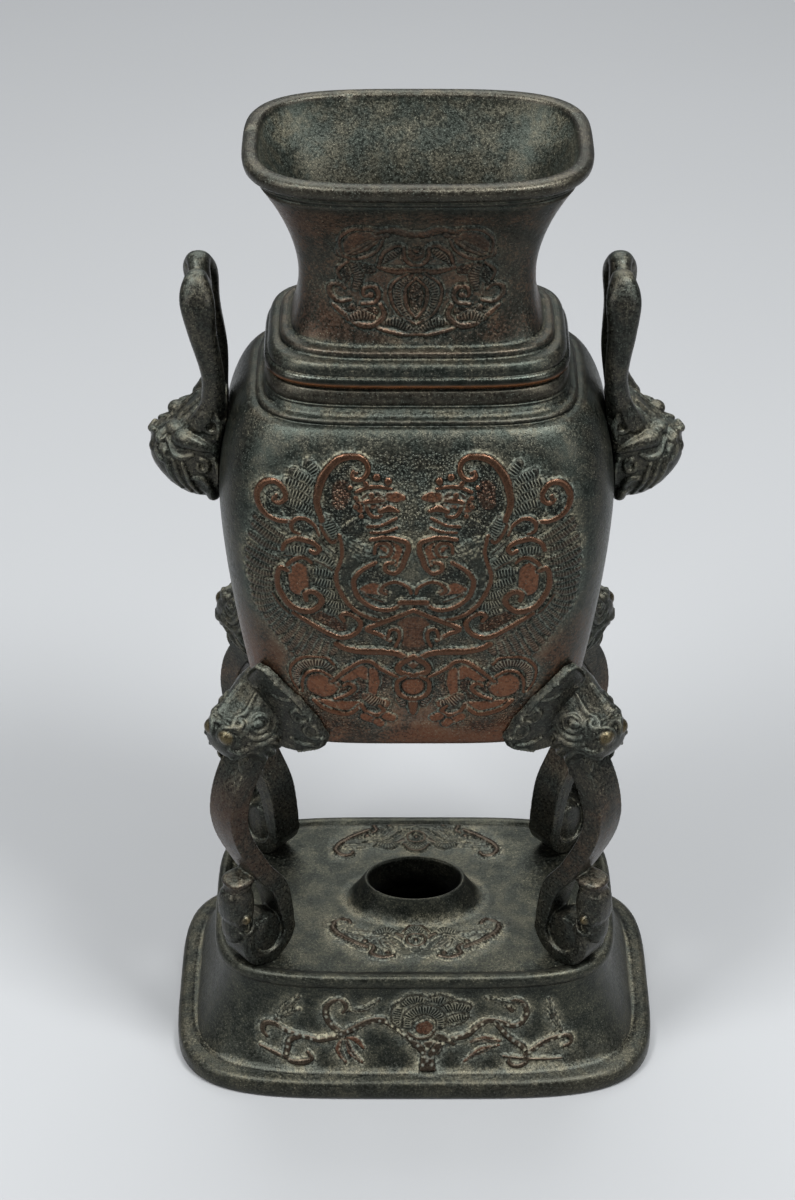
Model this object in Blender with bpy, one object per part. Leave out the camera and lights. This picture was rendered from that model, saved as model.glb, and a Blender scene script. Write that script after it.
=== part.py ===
import math

import bmesh
import bpy
from mathutils import Vector

# All sizes are in millimetres and degrees; the mesh is written in metres.
MM = 0.001

# How finely the plan outlines are drawn, and the gap kept between pieces that touch.
PLAN_COUNT = 26
PIECE_GAP = 0.3

# Squareness of the plan outlines: 2 is an oval, larger is nearer a rectangle.
BODY_SQUARENESS = 4.2
NECK_SQUARENESS = 3.8
LIP_SQUARENESS = 3.4
STAND_SQUARENESS = 4.4
OVAL = 2.0

# Vessel: half widths across the wide side, and how much less the half depth is.
VESSEL_DEPTH_LESS = 17.0
BOTTOM_DEPTH_LESS = 11.5
VESSEL_WALL = 3.0
FLOOR_ROUND = 3.6
BODY_BOTTOM_Z = 138.0
BODY_BOTTOM_HALF = 49.5
BODY_BOTTOM_ROUND = 3.0
BELLY_Z = 219.0
BELLY_HALF = 60.2
BELLY_SWELL = 1.5
SHOULDER_Z = 253.5
SHOULDER_ROUND = 1.92

# Stepped collar between the shoulder and the neck.
COLLAR_HALF = 46.9
COLLAR_TOP_Z = 261.5
COLLAR_LEAN = 0.8
COLLAR_GROOVE = 1.9
BEAD_LOW_Z = 262.1
BEAD_HIGH_Z = 266.1
BEAD_HALF = 44.6
BEAD_PROUD = 1.3
CUSHION_TOP_Z = 269.9
CUSHION_TOP_HALF = 42.2
STEP_HALF = 40.8
STEP_EDGE = 0.4
STEP_TOP_Z = 272.1

# Neck and lip. The waist is given as a share of the neck's length.
NECK_FOOT_RISE = 0.6
NECK_FOOT_HALF = 37.6
NECK_LENGTH = 49.3
NECK_WAIST_SHARE = 0.351
NECK_WAIST_HALF = 34.9
NECK_TOP_HALF = 46.2
LIP_LINE_RISE = 1.6
LIP_LINE_HALF = 47.2
LIP_FACE_RISE = 3.6
LIP_HALF = 50.4
LIP_RISE = 8.0
LIP_ROUND = 1.8
LIP_INSIDE_EDGE = 0.8
LIP_WIDTH = 4.6
NECK_FLARE_CURVE = 1.75
NECK_FOOT_CURVE = 2.4

# Stand: flange, concave skirt, crowned ridge, flat top and oval collar round the hole.
FLANGE_HALF = 81.8
FLANGE_DEPTH_LESS = 28.0
FLANGE_HIGH = 7.2
FLANGE_FLAT = 6.0
SKIRT_FOOT_HALF = 76.0
SKIRT_FOOT_DEPTH_LESS = 27.0
SKIRT_TOP_Z = 39.5
SKIRT_TOP_HALF = 66.6
RIDGE_TOP_Z = 44.6
RIDGE_PROUD = 1.2
RIDGE_DEPTH_LESS = 25.0
RIDGE_WIDTH = 4.2
PLATEAU_Z = 43.4
STAND_WALL = 3.6
HOLE_HALF = 15.7
HOLE_DEPTH_LESS = 5.3
OVAL_COLLAR_FOOT_HALF = 23.5
OVAL_COLLAR_FOOT_DEPTH_LESS = 9.0
OVAL_COLLAR_TOP_Z = 52.2
OVAL_COLLAR_RIM = 2.0

# Legs: each stands in an upright plane turned out from the wide side.
LEG_TURN = 42.0
LEG_ROOT_X = 44.0
LEG_ROOT_Y = 22.0
LEG_WIDTH = 11.4
LEG_THICK_TOP = 9.0
LEG_THICK_KNEE = 6.6
LEG_THICK_CALF = 6.4
LEG_THICK_ANKLE = 6.4
LEG_THICK_TOE = 4.6
LEG_TOP_OUT = 12.0
LEG_TOP_Z = 132.0
KNEE_OUT = 20.6
KNEE_Z = 104.0
CALF_OUT = 12.8
CALF_Z = 85.0
ANKLE_OUT = 5.0
ANKLE_Z = 72.0

# Feet: a round scroll rolled under, with a cloud knob standing on its outer end.
SCROLL_OUT = 10.3
SCROLL_RADIUS = 10.8
SCROLL_WEB_LESS = 0.7
CLOUD_OUT = 20.3
CLOUD_RISE = 20.0
CLOUD_HIGH = 19.0
CLOUD_REACH = 4.8
CLOUD_HALF_WIDTH = 4.7
CLOUD_LEAN = 0.16

# Beast heads on the legs, and the collar plate that hugs the corner of the body.
HEAD_BACK_OUT = 3.0
HEAD_NOSE_OUT = 25.5
HEAD_TOP_Z = 160.0
HEAD_NOSE_Z = 141.5
HEAD_CHIN_Z = 127.5
HEAD_HALF_WIDTH = 10.0
NOSTRIL_RADIUS = 2.8
EYE_RADIUS = 3.2
MANTLE_THICK = 3.4
MANTLE_ROOT = 11.0
MANTLE_LOW_Z = 136.4
MANTLE_HIGH = 32.0
MANTLE_SPREAD = 30.0

# Handles: an upright looped ring growing out of a beast mask on each narrow side.
MASK_BACK = 57.0
MASK_NOSE = 81.0
MASK_LOW_Z = 209.5
MASK_HIGH_Z = 246.0
MASK_NOSE_Z = 227.0
MASK_HALF_WIDTH = 12.2
LOOP_FOOT_Z = 243.0
LOOP_TOP_Z = 289.0
LOOP_DIP = 5.0
LOOP_HALF_SPAN = 9.6
LOOP_FOOT_X = 61.5
LOOP_WAIST_X = 60.0
LOOP_TOP_X = 62.6
LEFT_LOOP_LEAN = 2.4
RIGHT_LOOP_LEAN = -2.4
LOOP_FOOT_WIDTH = 8.2
LOOP_TOP_WIDTH = 12.0
LOOP_THICK = 6.4

# How far the carving stands out of the walls, how far its centre sits off the axis, and the
# most points a stroke may have and still be rounded between them.
CARVING_OFF_CENTRE = -0.7
SHORT_STROKE_COUNT = 3
BODY_RELIEF_HIGH = 1.1
NECK_RELIEF_HIGH = 0.9
STAND_RELIEF_HIGH = 1.2

BRONZE_DARK = (0.045, 0.046, 0.038)
BRONZE_BROWN = (0.085, 0.052, 0.036)
BRONZE_GREEN = (0.070, 0.076, 0.062)


def cleared_scene():
    for found in list(bpy.data.objects):
        bpy.data.objects.remove(found)


def bronze(name, colour):
    material = bpy.data.materials.new(name)
    material.use_nodes = True
    shader = material.node_tree.nodes["Principled BSDF"]
    shader.inputs["Base Color"].default_value = (*colour, 1.0)
    shader.inputs["Roughness"].default_value = 0.5
    shader.inputs["Metallic"].default_value = 1.0
    return material


def power(value, exponent):
    return math.copysign(abs(value) ** exponent, value)


def plan_ring(half, half_depth, z, squareness, points=PLAN_COUNT):
    """A rounded-rectangle outline at one height; the points crowd into its corners."""
    ring = []
    for step in range(points):
        turn = 2 * math.pi * step / points
        x = half * power(math.cos(turn), 2 / squareness)
        y = half_depth * power(math.sin(turn), 2 / squareness)
        ring.append(Vector((x, y, z)))
    return ring


def ring_edges(bm, ring):
    return [bm.edges.get((a, b)) for a, b in zip(ring, ring[1:] + ring[:1])]


def started_ring(bm, points):
    ring = [bm.verts.new(point * MM) for point in points]
    for a, b in zip(ring, ring[1:] + ring[:1]):
        bm.edges.new((a, b))
    return ring


def grown_ring(bm, ring, points):
    """Extrudes the open ring of edges onto the next outline."""
    made = bmesh.ops.extrude_edge_only(bm, edges=ring_edges(bm, ring))
    fresh = {item for item in made["geom"] if isinstance(item, bmesh.types.BMVert)}
    grown = []
    for vert in ring:
        grown.append(next(e.other_vert(vert) for e in vert.link_edges if e.other_vert(vert) in fresh))
    for vert, point in zip(grown, points):
        vert.co = point * MM
    return grown


def lofted(name, rings, ends="capped"):
    """A closed solid through the rings: capped at both ends, or joined end to end."""
    bm = bmesh.new()
    first = started_ring(bm, rings[0])
    ring = first
    for points in rings[1:]:
        ring = grown_ring(bm, ring, points)
    if ends == "capped":
        bmesh.ops.contextual_create(bm, geom=first)
        bmesh.ops.contextual_create(bm, geom=ring)
    else:
        bmesh.ops.bridge_loops(bm, edges=ring_edges(bm, first) + ring_edges(bm, ring))
    bmesh.ops.recalc_face_normals(bm, faces=bm.faces)
    mesh = bpy.data.meshes.new(name)
    bm.to_mesh(mesh)
    bm.free()
    solid = bpy.data.objects.new(name, mesh)
    bpy.context.collection.objects.link(solid)
    return solid


def ball(name, centre, radii, segments=6, rings=3):
    bm = bmesh.new()
    bmesh.ops.create_uvsphere(bm, u_segments=segments, v_segments=rings, radius=1.0)
    for vert in bm.verts:
        vert.co = Vector(centre[i] + vert.co[i] * radii[i] for i in range(3)) * MM
    mesh = bpy.data.meshes.new(name)
    bm.to_mesh(mesh)
    bm.free()
    solid = bpy.data.objects.new(name, mesh)
    bpy.context.collection.objects.link(solid)
    return solid


def joined(solid, others, operation="UNION"):
    """Fuses the others into the solid, or cuts them out of it, and removes them."""
    for other in others:
        change = solid.modifiers.new(operation.title(), "BOOLEAN")
        change.operation = operation
        change.solver = "EXACT"
        change.object = other
    graph = bpy.context.evaluated_depsgraph_get()
    mesh = bpy.data.meshes.new_from_object(solid.evaluated_get(graph))
    solid.modifiers.clear()
    solid.data = mesh
    for other in others:
        bpy.data.objects.remove(other)
    return solid


def finished(solid, material, crease=38.0):
    """Round faces smooth, real edges sharp, one material."""
    bm = bmesh.new()
    bm.from_mesh(solid.data)
    bmesh.ops.remove_doubles(bm, verts=bm.verts, dist=0.0005 * MM)
    for face in bm.faces:
        face.smooth = True
        face.material_index = 0
    for edge in bm.edges:
        edge.smooth = edge.is_manifold and edge.calc_face_angle(0.0) < math.radians(crease)
    bm.to_mesh(solid.data)
    bm.free()
    solid.data.materials.clear()
    solid.data.materials.append(material)
    return solid


def mirrored_copy(solid, name, flip_x, flip_y):
    mesh = solid.data.copy()
    bm = bmesh.new()
    bm.from_mesh(mesh)
    bmesh.ops.scale(bm, vec=(-1 if flip_x else 1, -1 if flip_y else 1, 1), verts=bm.verts)
    if flip_x != flip_y:
        bmesh.ops.reverse_faces(bm, faces=bm.faces)
    bm.to_mesh(mesh)
    bm.free()
    copy = bpy.data.objects.new(name, mesh)
    bpy.context.collection.objects.link(copy)
    return copy


def neck_height(share):
    """Height at a share of the neck's length above its foot."""
    return STEP_TOP_Z + NECK_FOOT_RISE + NECK_LENGTH * share


def body_half(z):
    """Half width of the body wall at a height."""
    if z >= BELLY_Z:
        up = min((z - BELLY_Z) / (SHOULDER_Z - BELLY_Z), 1.0)
        inward = BELLY_HALF - COLLAR_HALF
        return COLLAR_HALF + inward * (1 - up**SHOULDER_ROUND) ** (1 / SHOULDER_ROUND)
    down = (BELLY_Z - z) / (BELLY_Z - BODY_BOTTOM_Z)
    half = BELLY_HALF - (BELLY_HALF - BODY_BOTTOM_HALF) * down**BELLY_SWELL
    rise = (z - BODY_BOTTOM_Z) / BODY_BOTTOM_ROUND
    if rise < 1:
        half -= BODY_BOTTOM_ROUND * (1 - math.sqrt(max(0.0, 1 - (1 - rise) ** 2)))
    return half


def neck_half(z):
    waist = neck_height(NECK_WAIST_SHARE)
    if z >= waist:
        up = (z - waist) / (neck_height(1.0) - waist)
        return NECK_WAIST_HALF + (NECK_TOP_HALF - NECK_WAIST_HALF) * up**NECK_FLARE_CURVE
    down = (waist - z) / (waist - neck_height(0.0))
    return NECK_WAIST_HALF + (NECK_FOOT_HALF - NECK_WAIST_HALF) * down**NECK_FOOT_CURVE


def spread(low, high, steps):
    return [low + (high - low) * step / steps for step in range(steps + 1)]


def body_heights():
    edge = [BODY_BOTTOM_Z + BODY_BOTTOM_ROUND * part for part in (0.0, 0.3, 1.0)]
    wall = spread(BODY_BOTTOM_Z + BODY_BOTTOM_ROUND, BELLY_Z, 4)[1:]
    rise = SHOULDER_Z - BELLY_Z
    shoulder = [BELLY_Z + rise * math.sin(math.radians(turn)) for turn in (28, 48, 64, 78, 90)]
    return edge + wall + shoulder


def vessel_profile():
    """Height, half width and squareness of the outside, from the bottom edge to the lip."""
    rows = [(z, body_half(z), BODY_SQUARENESS) for z in body_heights()]
    rows.append((COLLAR_TOP_Z, COLLAR_HALF - COLLAR_LEAN, BODY_SQUARENESS))
    rows.append((BEAD_LOW_Z, BEAD_HALF - COLLAR_GROOVE + BEAD_PROUD, BODY_SQUARENESS))
    middle = (BEAD_LOW_Z + BEAD_HIGH_Z) / 2
    rows.append((middle, BEAD_HALF + BEAD_PROUD, BODY_SQUARENESS))
    rows.append((BEAD_HIGH_Z, BEAD_HALF, BODY_SQUARENESS))
    rows.append((CUSHION_TOP_Z, CUSHION_TOP_HALF, BODY_SQUARENESS))
    rows.append((CUSHION_TOP_Z + STEP_EDGE, STEP_HALF, NECK_SQUARENESS))
    rows.append((STEP_TOP_Z, STEP_HALF - STEP_EDGE, NECK_SQUARENESS))
    for share in (0.0, 0.1, NECK_WAIST_SHARE, 0.53, 0.77, 1.0):
        z = neck_height(share)
        rows.append((z, neck_half(z), NECK_SQUARENESS))
    top = neck_height(1.0)
    rows.append((top + LIP_LINE_RISE, LIP_LINE_HALF, LIP_SQUARENESS))
    rows.append((top + LIP_FACE_RISE, LIP_HALF - LIP_ROUND / 2, LIP_SQUARENESS))
    rows.append((top + LIP_RISE - LIP_ROUND, LIP_HALF, LIP_SQUARENESS))
    rows.append((top + LIP_RISE, LIP_HALF - LIP_ROUND, LIP_SQUARENESS))
    return rows


def vessel_inside():
    """The hollow, from the lip's inner edge down to the floor of the body."""
    brim = neck_height(1.0) + LIP_RISE
    inner_edge = LIP_HALF - LIP_WIDTH
    rows = [(brim, inner_edge + LIP_INSIDE_EDGE, LIP_SQUARENESS)]
    rows.append((brim - LIP_INSIDE_EDGE, inner_edge, LIP_SQUARENESS))
    for share in (0.83, 0.6, NECK_WAIST_SHARE, 0.04):
        z = neck_height(share)
        rows.append((z, neck_half(z) - VESSEL_WALL, NECK_SQUARENESS))
    rows.append((SHOULDER_Z, COLLAR_HALF - 2 * VESSEL_WALL, BODY_SQUARENESS))
    rise = SHOULDER_Z - BELLY_Z
    floor = BODY_BOTTOM_Z + VESSEL_WALL
    for z in (BELLY_Z + rise * 0.73, BELLY_Z, floor + (BELLY_Z - floor) * 0.24):
        rows.append((z, body_half(z) - VESSEL_WALL, BODY_SQUARENESS))
    rows.append((floor, body_half(floor + FLOOR_ROUND) - VESSEL_WALL - FLOOR_ROUND, BODY_SQUARENESS))
    return rows


def depth_less(z):
    """How much less the half depth is than the half width; the body is deeper in plan below."""
    down = min(max((BELLY_Z - z) / (BELLY_Z - BODY_BOTTOM_Z), 0.0), 1.0)
    return VESSEL_DEPTH_LESS + (BOTTOM_DEPTH_LESS - VESSEL_DEPTH_LESS) * down


def vessel_rings(rows, grow=0.0):
    rings = []
    for z, half, squareness in rows:
        rings.append(plan_ring(half + grow, half - depth_less(z) + grow, z, squareness))
    return rings


def clearance_body():
    """The body's outside grown by the gap, for cutting the pieces that hug it."""
    rows = [(BODY_BOTTOM_Z - PIECE_GAP, body_half(BODY_BOTTOM_Z), BODY_SQUARENESS)]
    rows += [(z, body_half(z), BODY_SQUARENESS) for z in body_heights()]
    return lofted("clearance", vessel_rings(rows, PIECE_GAP))


def wall_point(x, z, out, side):
    """A point on the wide wall of the body, standing out by so much; side is -1 for the front."""
    half = body_half(z)
    depth = (half - depth_less(z)) * (1 - abs(x / half) ** BODY_SQUARENESS) ** (1 / BODY_SQUARENESS)
    return Vector((x, side * (depth + out), z))


def neck_point(x, z, out, side):
    half = neck_half(z)
    depth = (half - VESSEL_DEPTH_LESS) * (1 - abs(x / half) ** NECK_SQUARENESS) ** (1 / NECK_SQUARENESS)
    return Vector((x, side * (depth + out), z))


def skirt_point(x, z, out, side):
    half, less = skirt_size(z)
    depth = (half - less) * (1 - abs(x / half) ** STAND_SQUARENESS) ** (1 / STAND_SQUARENESS)
    return Vector((x, side * (depth + out), z))


def plateau_point(x, y, out, side):
    return Vector((x, -side * y, PLATEAU_Z + out))


def ridge(line, widths, high, point_on, side, closed=False):
    """A raised stroke along the line, its crest standing out and its foot sunk in the wall."""
    rings = []
    last = len(line) - 1
    for index, (x, z) in enumerate(line):
        before = line[index - 1] if closed else line[max(index - 1, 0)]
        after = line[(index + 1) % len(line)] if closed else line[min(index + 1, last)]
        along = math.atan2(after[1] - before[1], after[0] - before[0])
        across = (-math.sin(along), math.cos(along))
        half = widths[index] / 2
        ring = []
        for reach, out in ((-1.0, -0.6), (0.0, high), (1.0, -0.6)):
            px = CARVING_OFF_CENTRE + x + across[0] * half * reach
            ring.append(point_on(px, z + across[1] * half * reach, out, side))
        rings.append(ring)
    return lofted("stroke", rings, "joined" if closed else "capped")


def carved(lines, high, point_on, side):
    """Both mirrored halves of a set of strokes; one that reaches the middle goes on across it."""
    strokes = []
    for points, widths in lines:
        line = smooth_line(points, 1 if len(points) > SHORT_STROKE_COUNT else 2)
        last = len(line) - 1
        sizes = [widths[0] + (widths[1] - widths[0]) * index / last for index in range(last + 1)]
        mirrored = [Vector((-x, z)) for x, z in line]
        if points[0][0] == 0.0 and points[-1][0] == 0.0:
            whole = line[:-1] + mirrored[:0:-1]
            strokes.append(ridge(whole, sizes[:-1] + sizes[:0:-1], high, point_on, side, True))
        elif points[-1][0] == 0.0:
            strokes.append(ridge(line[:-1] + mirrored[::-1], sizes[:-1] + sizes[::-1], high, point_on, side))
        else:
            strokes.append(ridge(line, sizes, high, point_on, side))
            strokes.append(ridge(mirrored, sizes, high, point_on, side))
    return strokes


def phoenix_lines(plain=False):
    """Half of the body roundel, one of the two confronted birds: each stroke and its widths."""
    crest = ((-28.0, 226.5), (-27.0, 239.0), (-20.0, 245.5), (-15.5, 243.0), (-16.5, 239.5))
    head = ((-19.0, 236.5), (-11.5, 236.0), (-3.0, 234.5))
    wing_scroll = ((-44.0, 222.0), (-47.0, 232.0), (-41.0, 238.0), (-37.5, 233.0), (-41.0, 231.0))
    feathers = ((-47.5, 221.0), (-50.0, 207.0), (-48.0, 193.0), (-42.0, 181.0), (-34.5, 174.5))
    wing = ((-29.0, 218.0), (-38.5, 215.5), (-42.0, 205.0), (-35.0, 195.8), (-28.5, 198.5), (-31.5, 202.0))
    breast = ((-10.0, 219.0), (-21.0, 216.0), (-21.5, 204.0), (-13.5, 196.5), (0.0, 195.0))
    curl = ((-5.0, 218.0), (-6.5, 209.5), (-11.0, 206.0))
    tail = ((-44.5, 201.0), (-39.0, 193.0), (-24.0, 185.0), (-18.0, 188.0))
    ribbon = ((-23.5, 180.5), (-11.0, 177.5), (0.0, 176.0))
    knot = ((-28.0, 169.0), (-18.0, 175.0), (-9.0, 171.0), (0.0, 168.5))
    leaf = ((-35.5, 163.5), (-34.0, 171.5), (-27.0, 169.0), (-25.5, 161.5))
    foot = ((-29.0, 157.5), (-21.0, 154.0), (-11.0, 149.5))
    main = (
        (feathers, (7.5, 5.5)),
        (wing, (3.4, 3.0)),
        (breast, (3.8, 3.6)),
        (ribbon, (3.6, 3.6)),
    )
    if plain:
        return main
    fine = (
        (crest, (2.6, 2.2)),
        (head, (5.5, 3.0)),
        (wing_scroll, (2.8, 2.4)),
        (curl, (2.8, 2.4)),
        (tail, (3.4, 2.8)),
        (knot, (3.2, 3.0)),
        (leaf, (3.0, 3.0)),
        (foot, (4.0, 3.0)),
    )
    return main + fine


def bud_lines():
    """Half of the neck's oval bud with its leaves and side scroll."""
    bud = ((0.0, 297.5), (-6.5, 292.0), (-6.0, 285.0), (0.0, 279.5))
    leaf = ((-3.0, 309.5), (-14.0, 308.5), (-20.0, 302.5), (-9.0, 300.5))
    scroll = ((-24.0, 299.0), (-22.0, 287.5), (-11.0, 281.5), (-10.5, 288.0))
    return ((bud, (2.6, 2.6)), (leaf, (3.0, 2.6)), (scroll, (3.6, 2.6)))


def vessel():
    solid = lofted("vessel", vessel_rings(vessel_profile() + vessel_inside()))
    strokes = carved(phoenix_lines(), BODY_RELIEF_HIGH, wall_point, -1)
    strokes += carved(phoenix_lines(plain=True), BODY_RELIEF_HIGH, wall_point, 1)
    strokes += carved(bud_lines(), NECK_RELIEF_HIGH, neck_point, -1)
    return joined(solid, strokes)


def ridge_half():
    return SKIRT_TOP_HALF + RIDGE_PROUD


def skirt_size(z):
    """Half width of the skirt at a height and how much less its half depth is."""
    part = (z - FLANGE_HIGH) / (SKIRT_TOP_Z - FLANGE_HIGH)
    half = SKIRT_TOP_HALF + (SKIRT_FOOT_HALF - SKIRT_TOP_HALF) * (1 - part) ** 2
    less = SKIRT_FOOT_DEPTH_LESS + (RIDGE_DEPTH_LESS - SKIRT_FOOT_DEPTH_LESS) * part
    return half, less


def stand_rings():
    """The stand's section, out round the flange, over the top, through the hole and back inside."""
    rows = [(0.0, FLANGE_HALF - 1.2, FLANGE_DEPTH_LESS, STAND_SQUARENESS)]
    rows.append((1.2, FLANGE_HALF, FLANGE_DEPTH_LESS, STAND_SQUARENESS))
    rows.append((FLANGE_HIGH - 1.8, FLANGE_HALF - 0.2, FLANGE_DEPTH_LESS, STAND_SQUARENESS))
    rows.append((FLANGE_HIGH, SKIRT_FOOT_HALF + 1.6, FLANGE_DEPTH_LESS, STAND_SQUARENESS))
    for z in spread(FLANGE_HIGH + 0.8, SKIRT_TOP_Z, 3):
        half, less = skirt_size(z)
        rows.append((z, half, less, STAND_SQUARENESS))
    rows.append((SKIRT_TOP_Z + 0.8, ridge_half(), RIDGE_DEPTH_LESS, STAND_SQUARENESS))
    rows.append((RIDGE_TOP_Z - 1.5, ridge_half(), RIDGE_DEPTH_LESS, STAND_SQUARENESS))
    rows.append((RIDGE_TOP_Z, ridge_half() - 1.6, RIDGE_DEPTH_LESS, STAND_SQUARENESS))
    rows.append((PLATEAU_Z, ridge_half() - RIDGE_WIDTH, RIDGE_DEPTH_LESS, STAND_SQUARENESS))
    foot_less = OVAL_COLLAR_FOOT_DEPTH_LESS
    rows.append((PLATEAU_Z, OVAL_COLLAR_FOOT_HALF, foot_less, OVAL))
    rows.append((PLATEAU_Z + 2.0, OVAL_COLLAR_FOOT_HALF - 2.4, foot_less - 0.6, OVAL))
    outer = HOLE_HALF + OVAL_COLLAR_RIM
    rows.append((OVAL_COLLAR_TOP_Z, outer - 0.5, HOLE_DEPTH_LESS, OVAL))
    rows.append((OVAL_COLLAR_TOP_Z - 0.5, HOLE_HALF, HOLE_DEPTH_LESS, OVAL))
    ceiling = PLATEAU_Z - STAND_WALL
    rows.append((ceiling, HOLE_HALF, HOLE_DEPTH_LESS, OVAL))
    rows.append((ceiling, ridge_half() - 2 * STAND_WALL, RIDGE_DEPTH_LESS, STAND_SQUARENESS))
    for z in (24.0, FLANGE_HIGH):
        half, less = skirt_size(z)
        rows.append((z, half - STAND_WALL, less, STAND_SQUARENESS))
    rows.append((0.0, FLANGE_HALF - 1.2 - FLANGE_FLAT, FLANGE_DEPTH_LESS, STAND_SQUARENESS))
    return [plan_ring(half, half - less, z, squareness) for z, half, less, squareness in rows]


def branch_lines():
    """Half of the flowering branch on the stand's skirt."""
    bough = ((44.0, 16.5), (28.0, 17.0), (17.0, 22.5), (6.0, 18.5), (0.0, 14.0))
    sprig = ((19.0, 23.0), (25.0, 31.0), (34.0, 32.0))
    tip = ((40.0, 18.0), (43.0, 25.0), (50.0, 28.0))
    bloom = ((0.0, 24.0), (6.0, 27.0), (9.0, 33.0), (0.0, 36.0))
    return ((bough, (4.0, 5.0)), (sprig, (3.4, 2.6)), (tip, (3.4, 2.6)), (bloom, (4.0, 3.4)))


def spray_lines():
    """Half of the crescent spray lying on the flat top in front of the hole."""
    crescent = ((26.0, -18.5), (27.0, -22.0), (14.0, -29.0), (0.0, -29.5))
    return ((crescent, (3.0, 6.0)),)


def stand():
    solid = lofted("stand", stand_rings(), "joined")
    carving = carved(branch_lines(), STAND_RELIEF_HIGH, skirt_point, -1)
    carving += carved(branch_lines()[:1], STAND_RELIEF_HIGH, skirt_point, 1)
    for side in (-1, 1):
        carving += carved(spray_lines(), STAND_RELIEF_HIGH, plateau_point, side)
    return joined(solid, carving)


def leg_frame(out, across, z):
    """From the leg's own plane (out from the root, across it, up) to the object's axes."""
    turn = math.radians(LEG_TURN)
    x = LEG_ROOT_X + out * math.cos(turn) - across * math.sin(turn)
    y = LEG_ROOT_Y + out * math.sin(turn) + across * math.cos(turn)
    return Vector((x, y, z))


def smooth_line(points, per_span):
    """A rounded curve through the points, by Catmull-Rom spans."""
    line = []
    padded = [points[0], *points, points[-1]]
    for index in range(1, len(padded) - 2):
        p0, p1, p2, p3 = (Vector(padded[index + k]) for k in (-1, 0, 1, 2))
        for step in range(per_span):
            t = step / per_span
            line.append(
                0.5 * (2 * p1 + (p2 - p0) * t + (2 * p0 - 5 * p1 + 4 * p2 - p3) * t**2
                       + (3 * p1 - p0 - 3 * p2 + p3) * t**3)
            )
    line.append(Vector(points[-1]))
    return line


def foot_z():
    return PLATEAU_Z + PIECE_GAP


def leg_line():
    """The middle of the leg: out over the knee, in at the ankle, and round under the foot scroll."""
    points = [
        (LEG_TOP_OUT, LEG_TOP_Z, LEG_THICK_TOP),
        (KNEE_OUT - 1.0, (LEG_TOP_Z + KNEE_Z) / 2, (LEG_THICK_TOP + LEG_THICK_KNEE) / 2),
        (KNEE_OUT, KNEE_Z, LEG_THICK_KNEE),
        (CALF_OUT, CALF_Z, LEG_THICK_CALF),
        (ANKLE_OUT, ANKLE_Z, LEG_THICK_ANKLE),
    ]
    radius = SCROLL_RADIUS - LEG_THICK_TOE / 2
    for degrees in (172, 216, 260, 304, 348, 392):
        turn = math.radians(degrees)
        out = SCROLL_OUT + radius * math.cos(turn)
        points.append((out, foot_z() + SCROLL_RADIUS + radius * math.sin(turn), LEG_THICK_TOE))
    upper = smooth_line(points[:5], 2)
    return upper[:-1] + smooth_line(points[4:], 1)


def leg_band():
    line = leg_line()
    rings = []
    for index, here in enumerate(line):
        before = line[max(index - 1, 0)]
        after = line[min(index + 1, len(line) - 1)]
        along = Vector((after[0] - before[0], after[1] - before[1])).normalized()
        outward = Vector((-along[1], along[0]))
        half = here[2] / 2
        width = LEG_WIDTH / 2
        ring = []
        for across, reach in ((-0.8, -1.0), (0.8, -1.0), (1.0, 0.4), (0.0, 1.1), (-1.0, 0.4)):
            out = here[0] + outward[0] * reach * half
            z = max(here[1] + outward[1] * reach * half, foot_z())
            ring.append(leg_frame(out, across * width, z))
        rings.append(ring)
    return lofted("band", rings)


def drum(name, out, z, radius, half_width, sides=8):
    """A round volute lying across the leg."""
    rings = []
    for across, size in ((-1.0, 1.0), (1.0, 1.0)):
        ring = []
        for side in range(sides):
            turn = 2 * math.pi * side / sides
            ring.append(
                leg_frame(
                    out + radius * size * math.cos(turn),
                    across * half_width,
                    max(z + radius * size * math.sin(turn), foot_z()),
                )
            )
        rings.append(ring)
    return lofted(name, rings)


def cloud():
    """The knob on the foot: a stalk rising from the scroll, a lobed block and a domed cap."""
    rings = []
    rows = (
        (0.0, 0.7, 0.7),
        (0.28, 0.9, 0.9),
        (0.55, 1.0, 1.0),
        (0.72, 0.8, 0.76),
        (0.86, 0.95, 0.9),
        (1.0, 0.4, 0.4),
    )
    for part, reach, wide in rows:
        rise = CLOUD_HIGH * part
        ring = []
        for side in range(8):
            turn = 2 * math.pi * side / 8
            ring.append(
                leg_frame(
                    CLOUD_OUT - rise * CLOUD_LEAN + CLOUD_REACH * reach * power(math.cos(turn), 0.75),
                    CLOUD_HALF_WIDTH * wide * power(math.sin(turn), 0.75),
                    foot_z() + CLOUD_RISE + rise,
                )
            )
        rings.append(ring)
    return lofted("cloud", rings)


def beast_head():
    """The head's mass, lofted from the corner of the body out to the nose."""
    span = HEAD_NOSE_OUT - HEAD_BACK_OUT
    rows = (
        (0.0, HEAD_TOP_Z, 136.5, 0.9),
        (0.3, HEAD_TOP_Z - 1.0, HEAD_CHIN_Z + 2.0, 1.05),
        (0.55, 154.0, HEAD_CHIN_Z, 1.0),
        (0.78, 149.0, HEAD_CHIN_Z + 2.0, 0.88),
        (0.93, 146.5, HEAD_NOSE_Z - 8.5, 0.72),
        (1.0, 144.5, HEAD_NOSE_Z - 5.0, 0.5),
    )
    rings = []
    for part, top, bottom, wide in rows:
        ring = []
        for side in range(10):
            turn = 2 * math.pi * side / 10
            middle = (top + bottom) / 2
            ring.append(
                leg_frame(
                    HEAD_BACK_OUT + span * part,
                    HEAD_HALF_WIDTH * wide * power(math.cos(turn), 0.8),
                    middle + (top - bottom) / 2 * power(math.sin(turn), 0.8),
                )
            )
        rings.append(ring)
    return lofted("head", rings)


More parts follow.
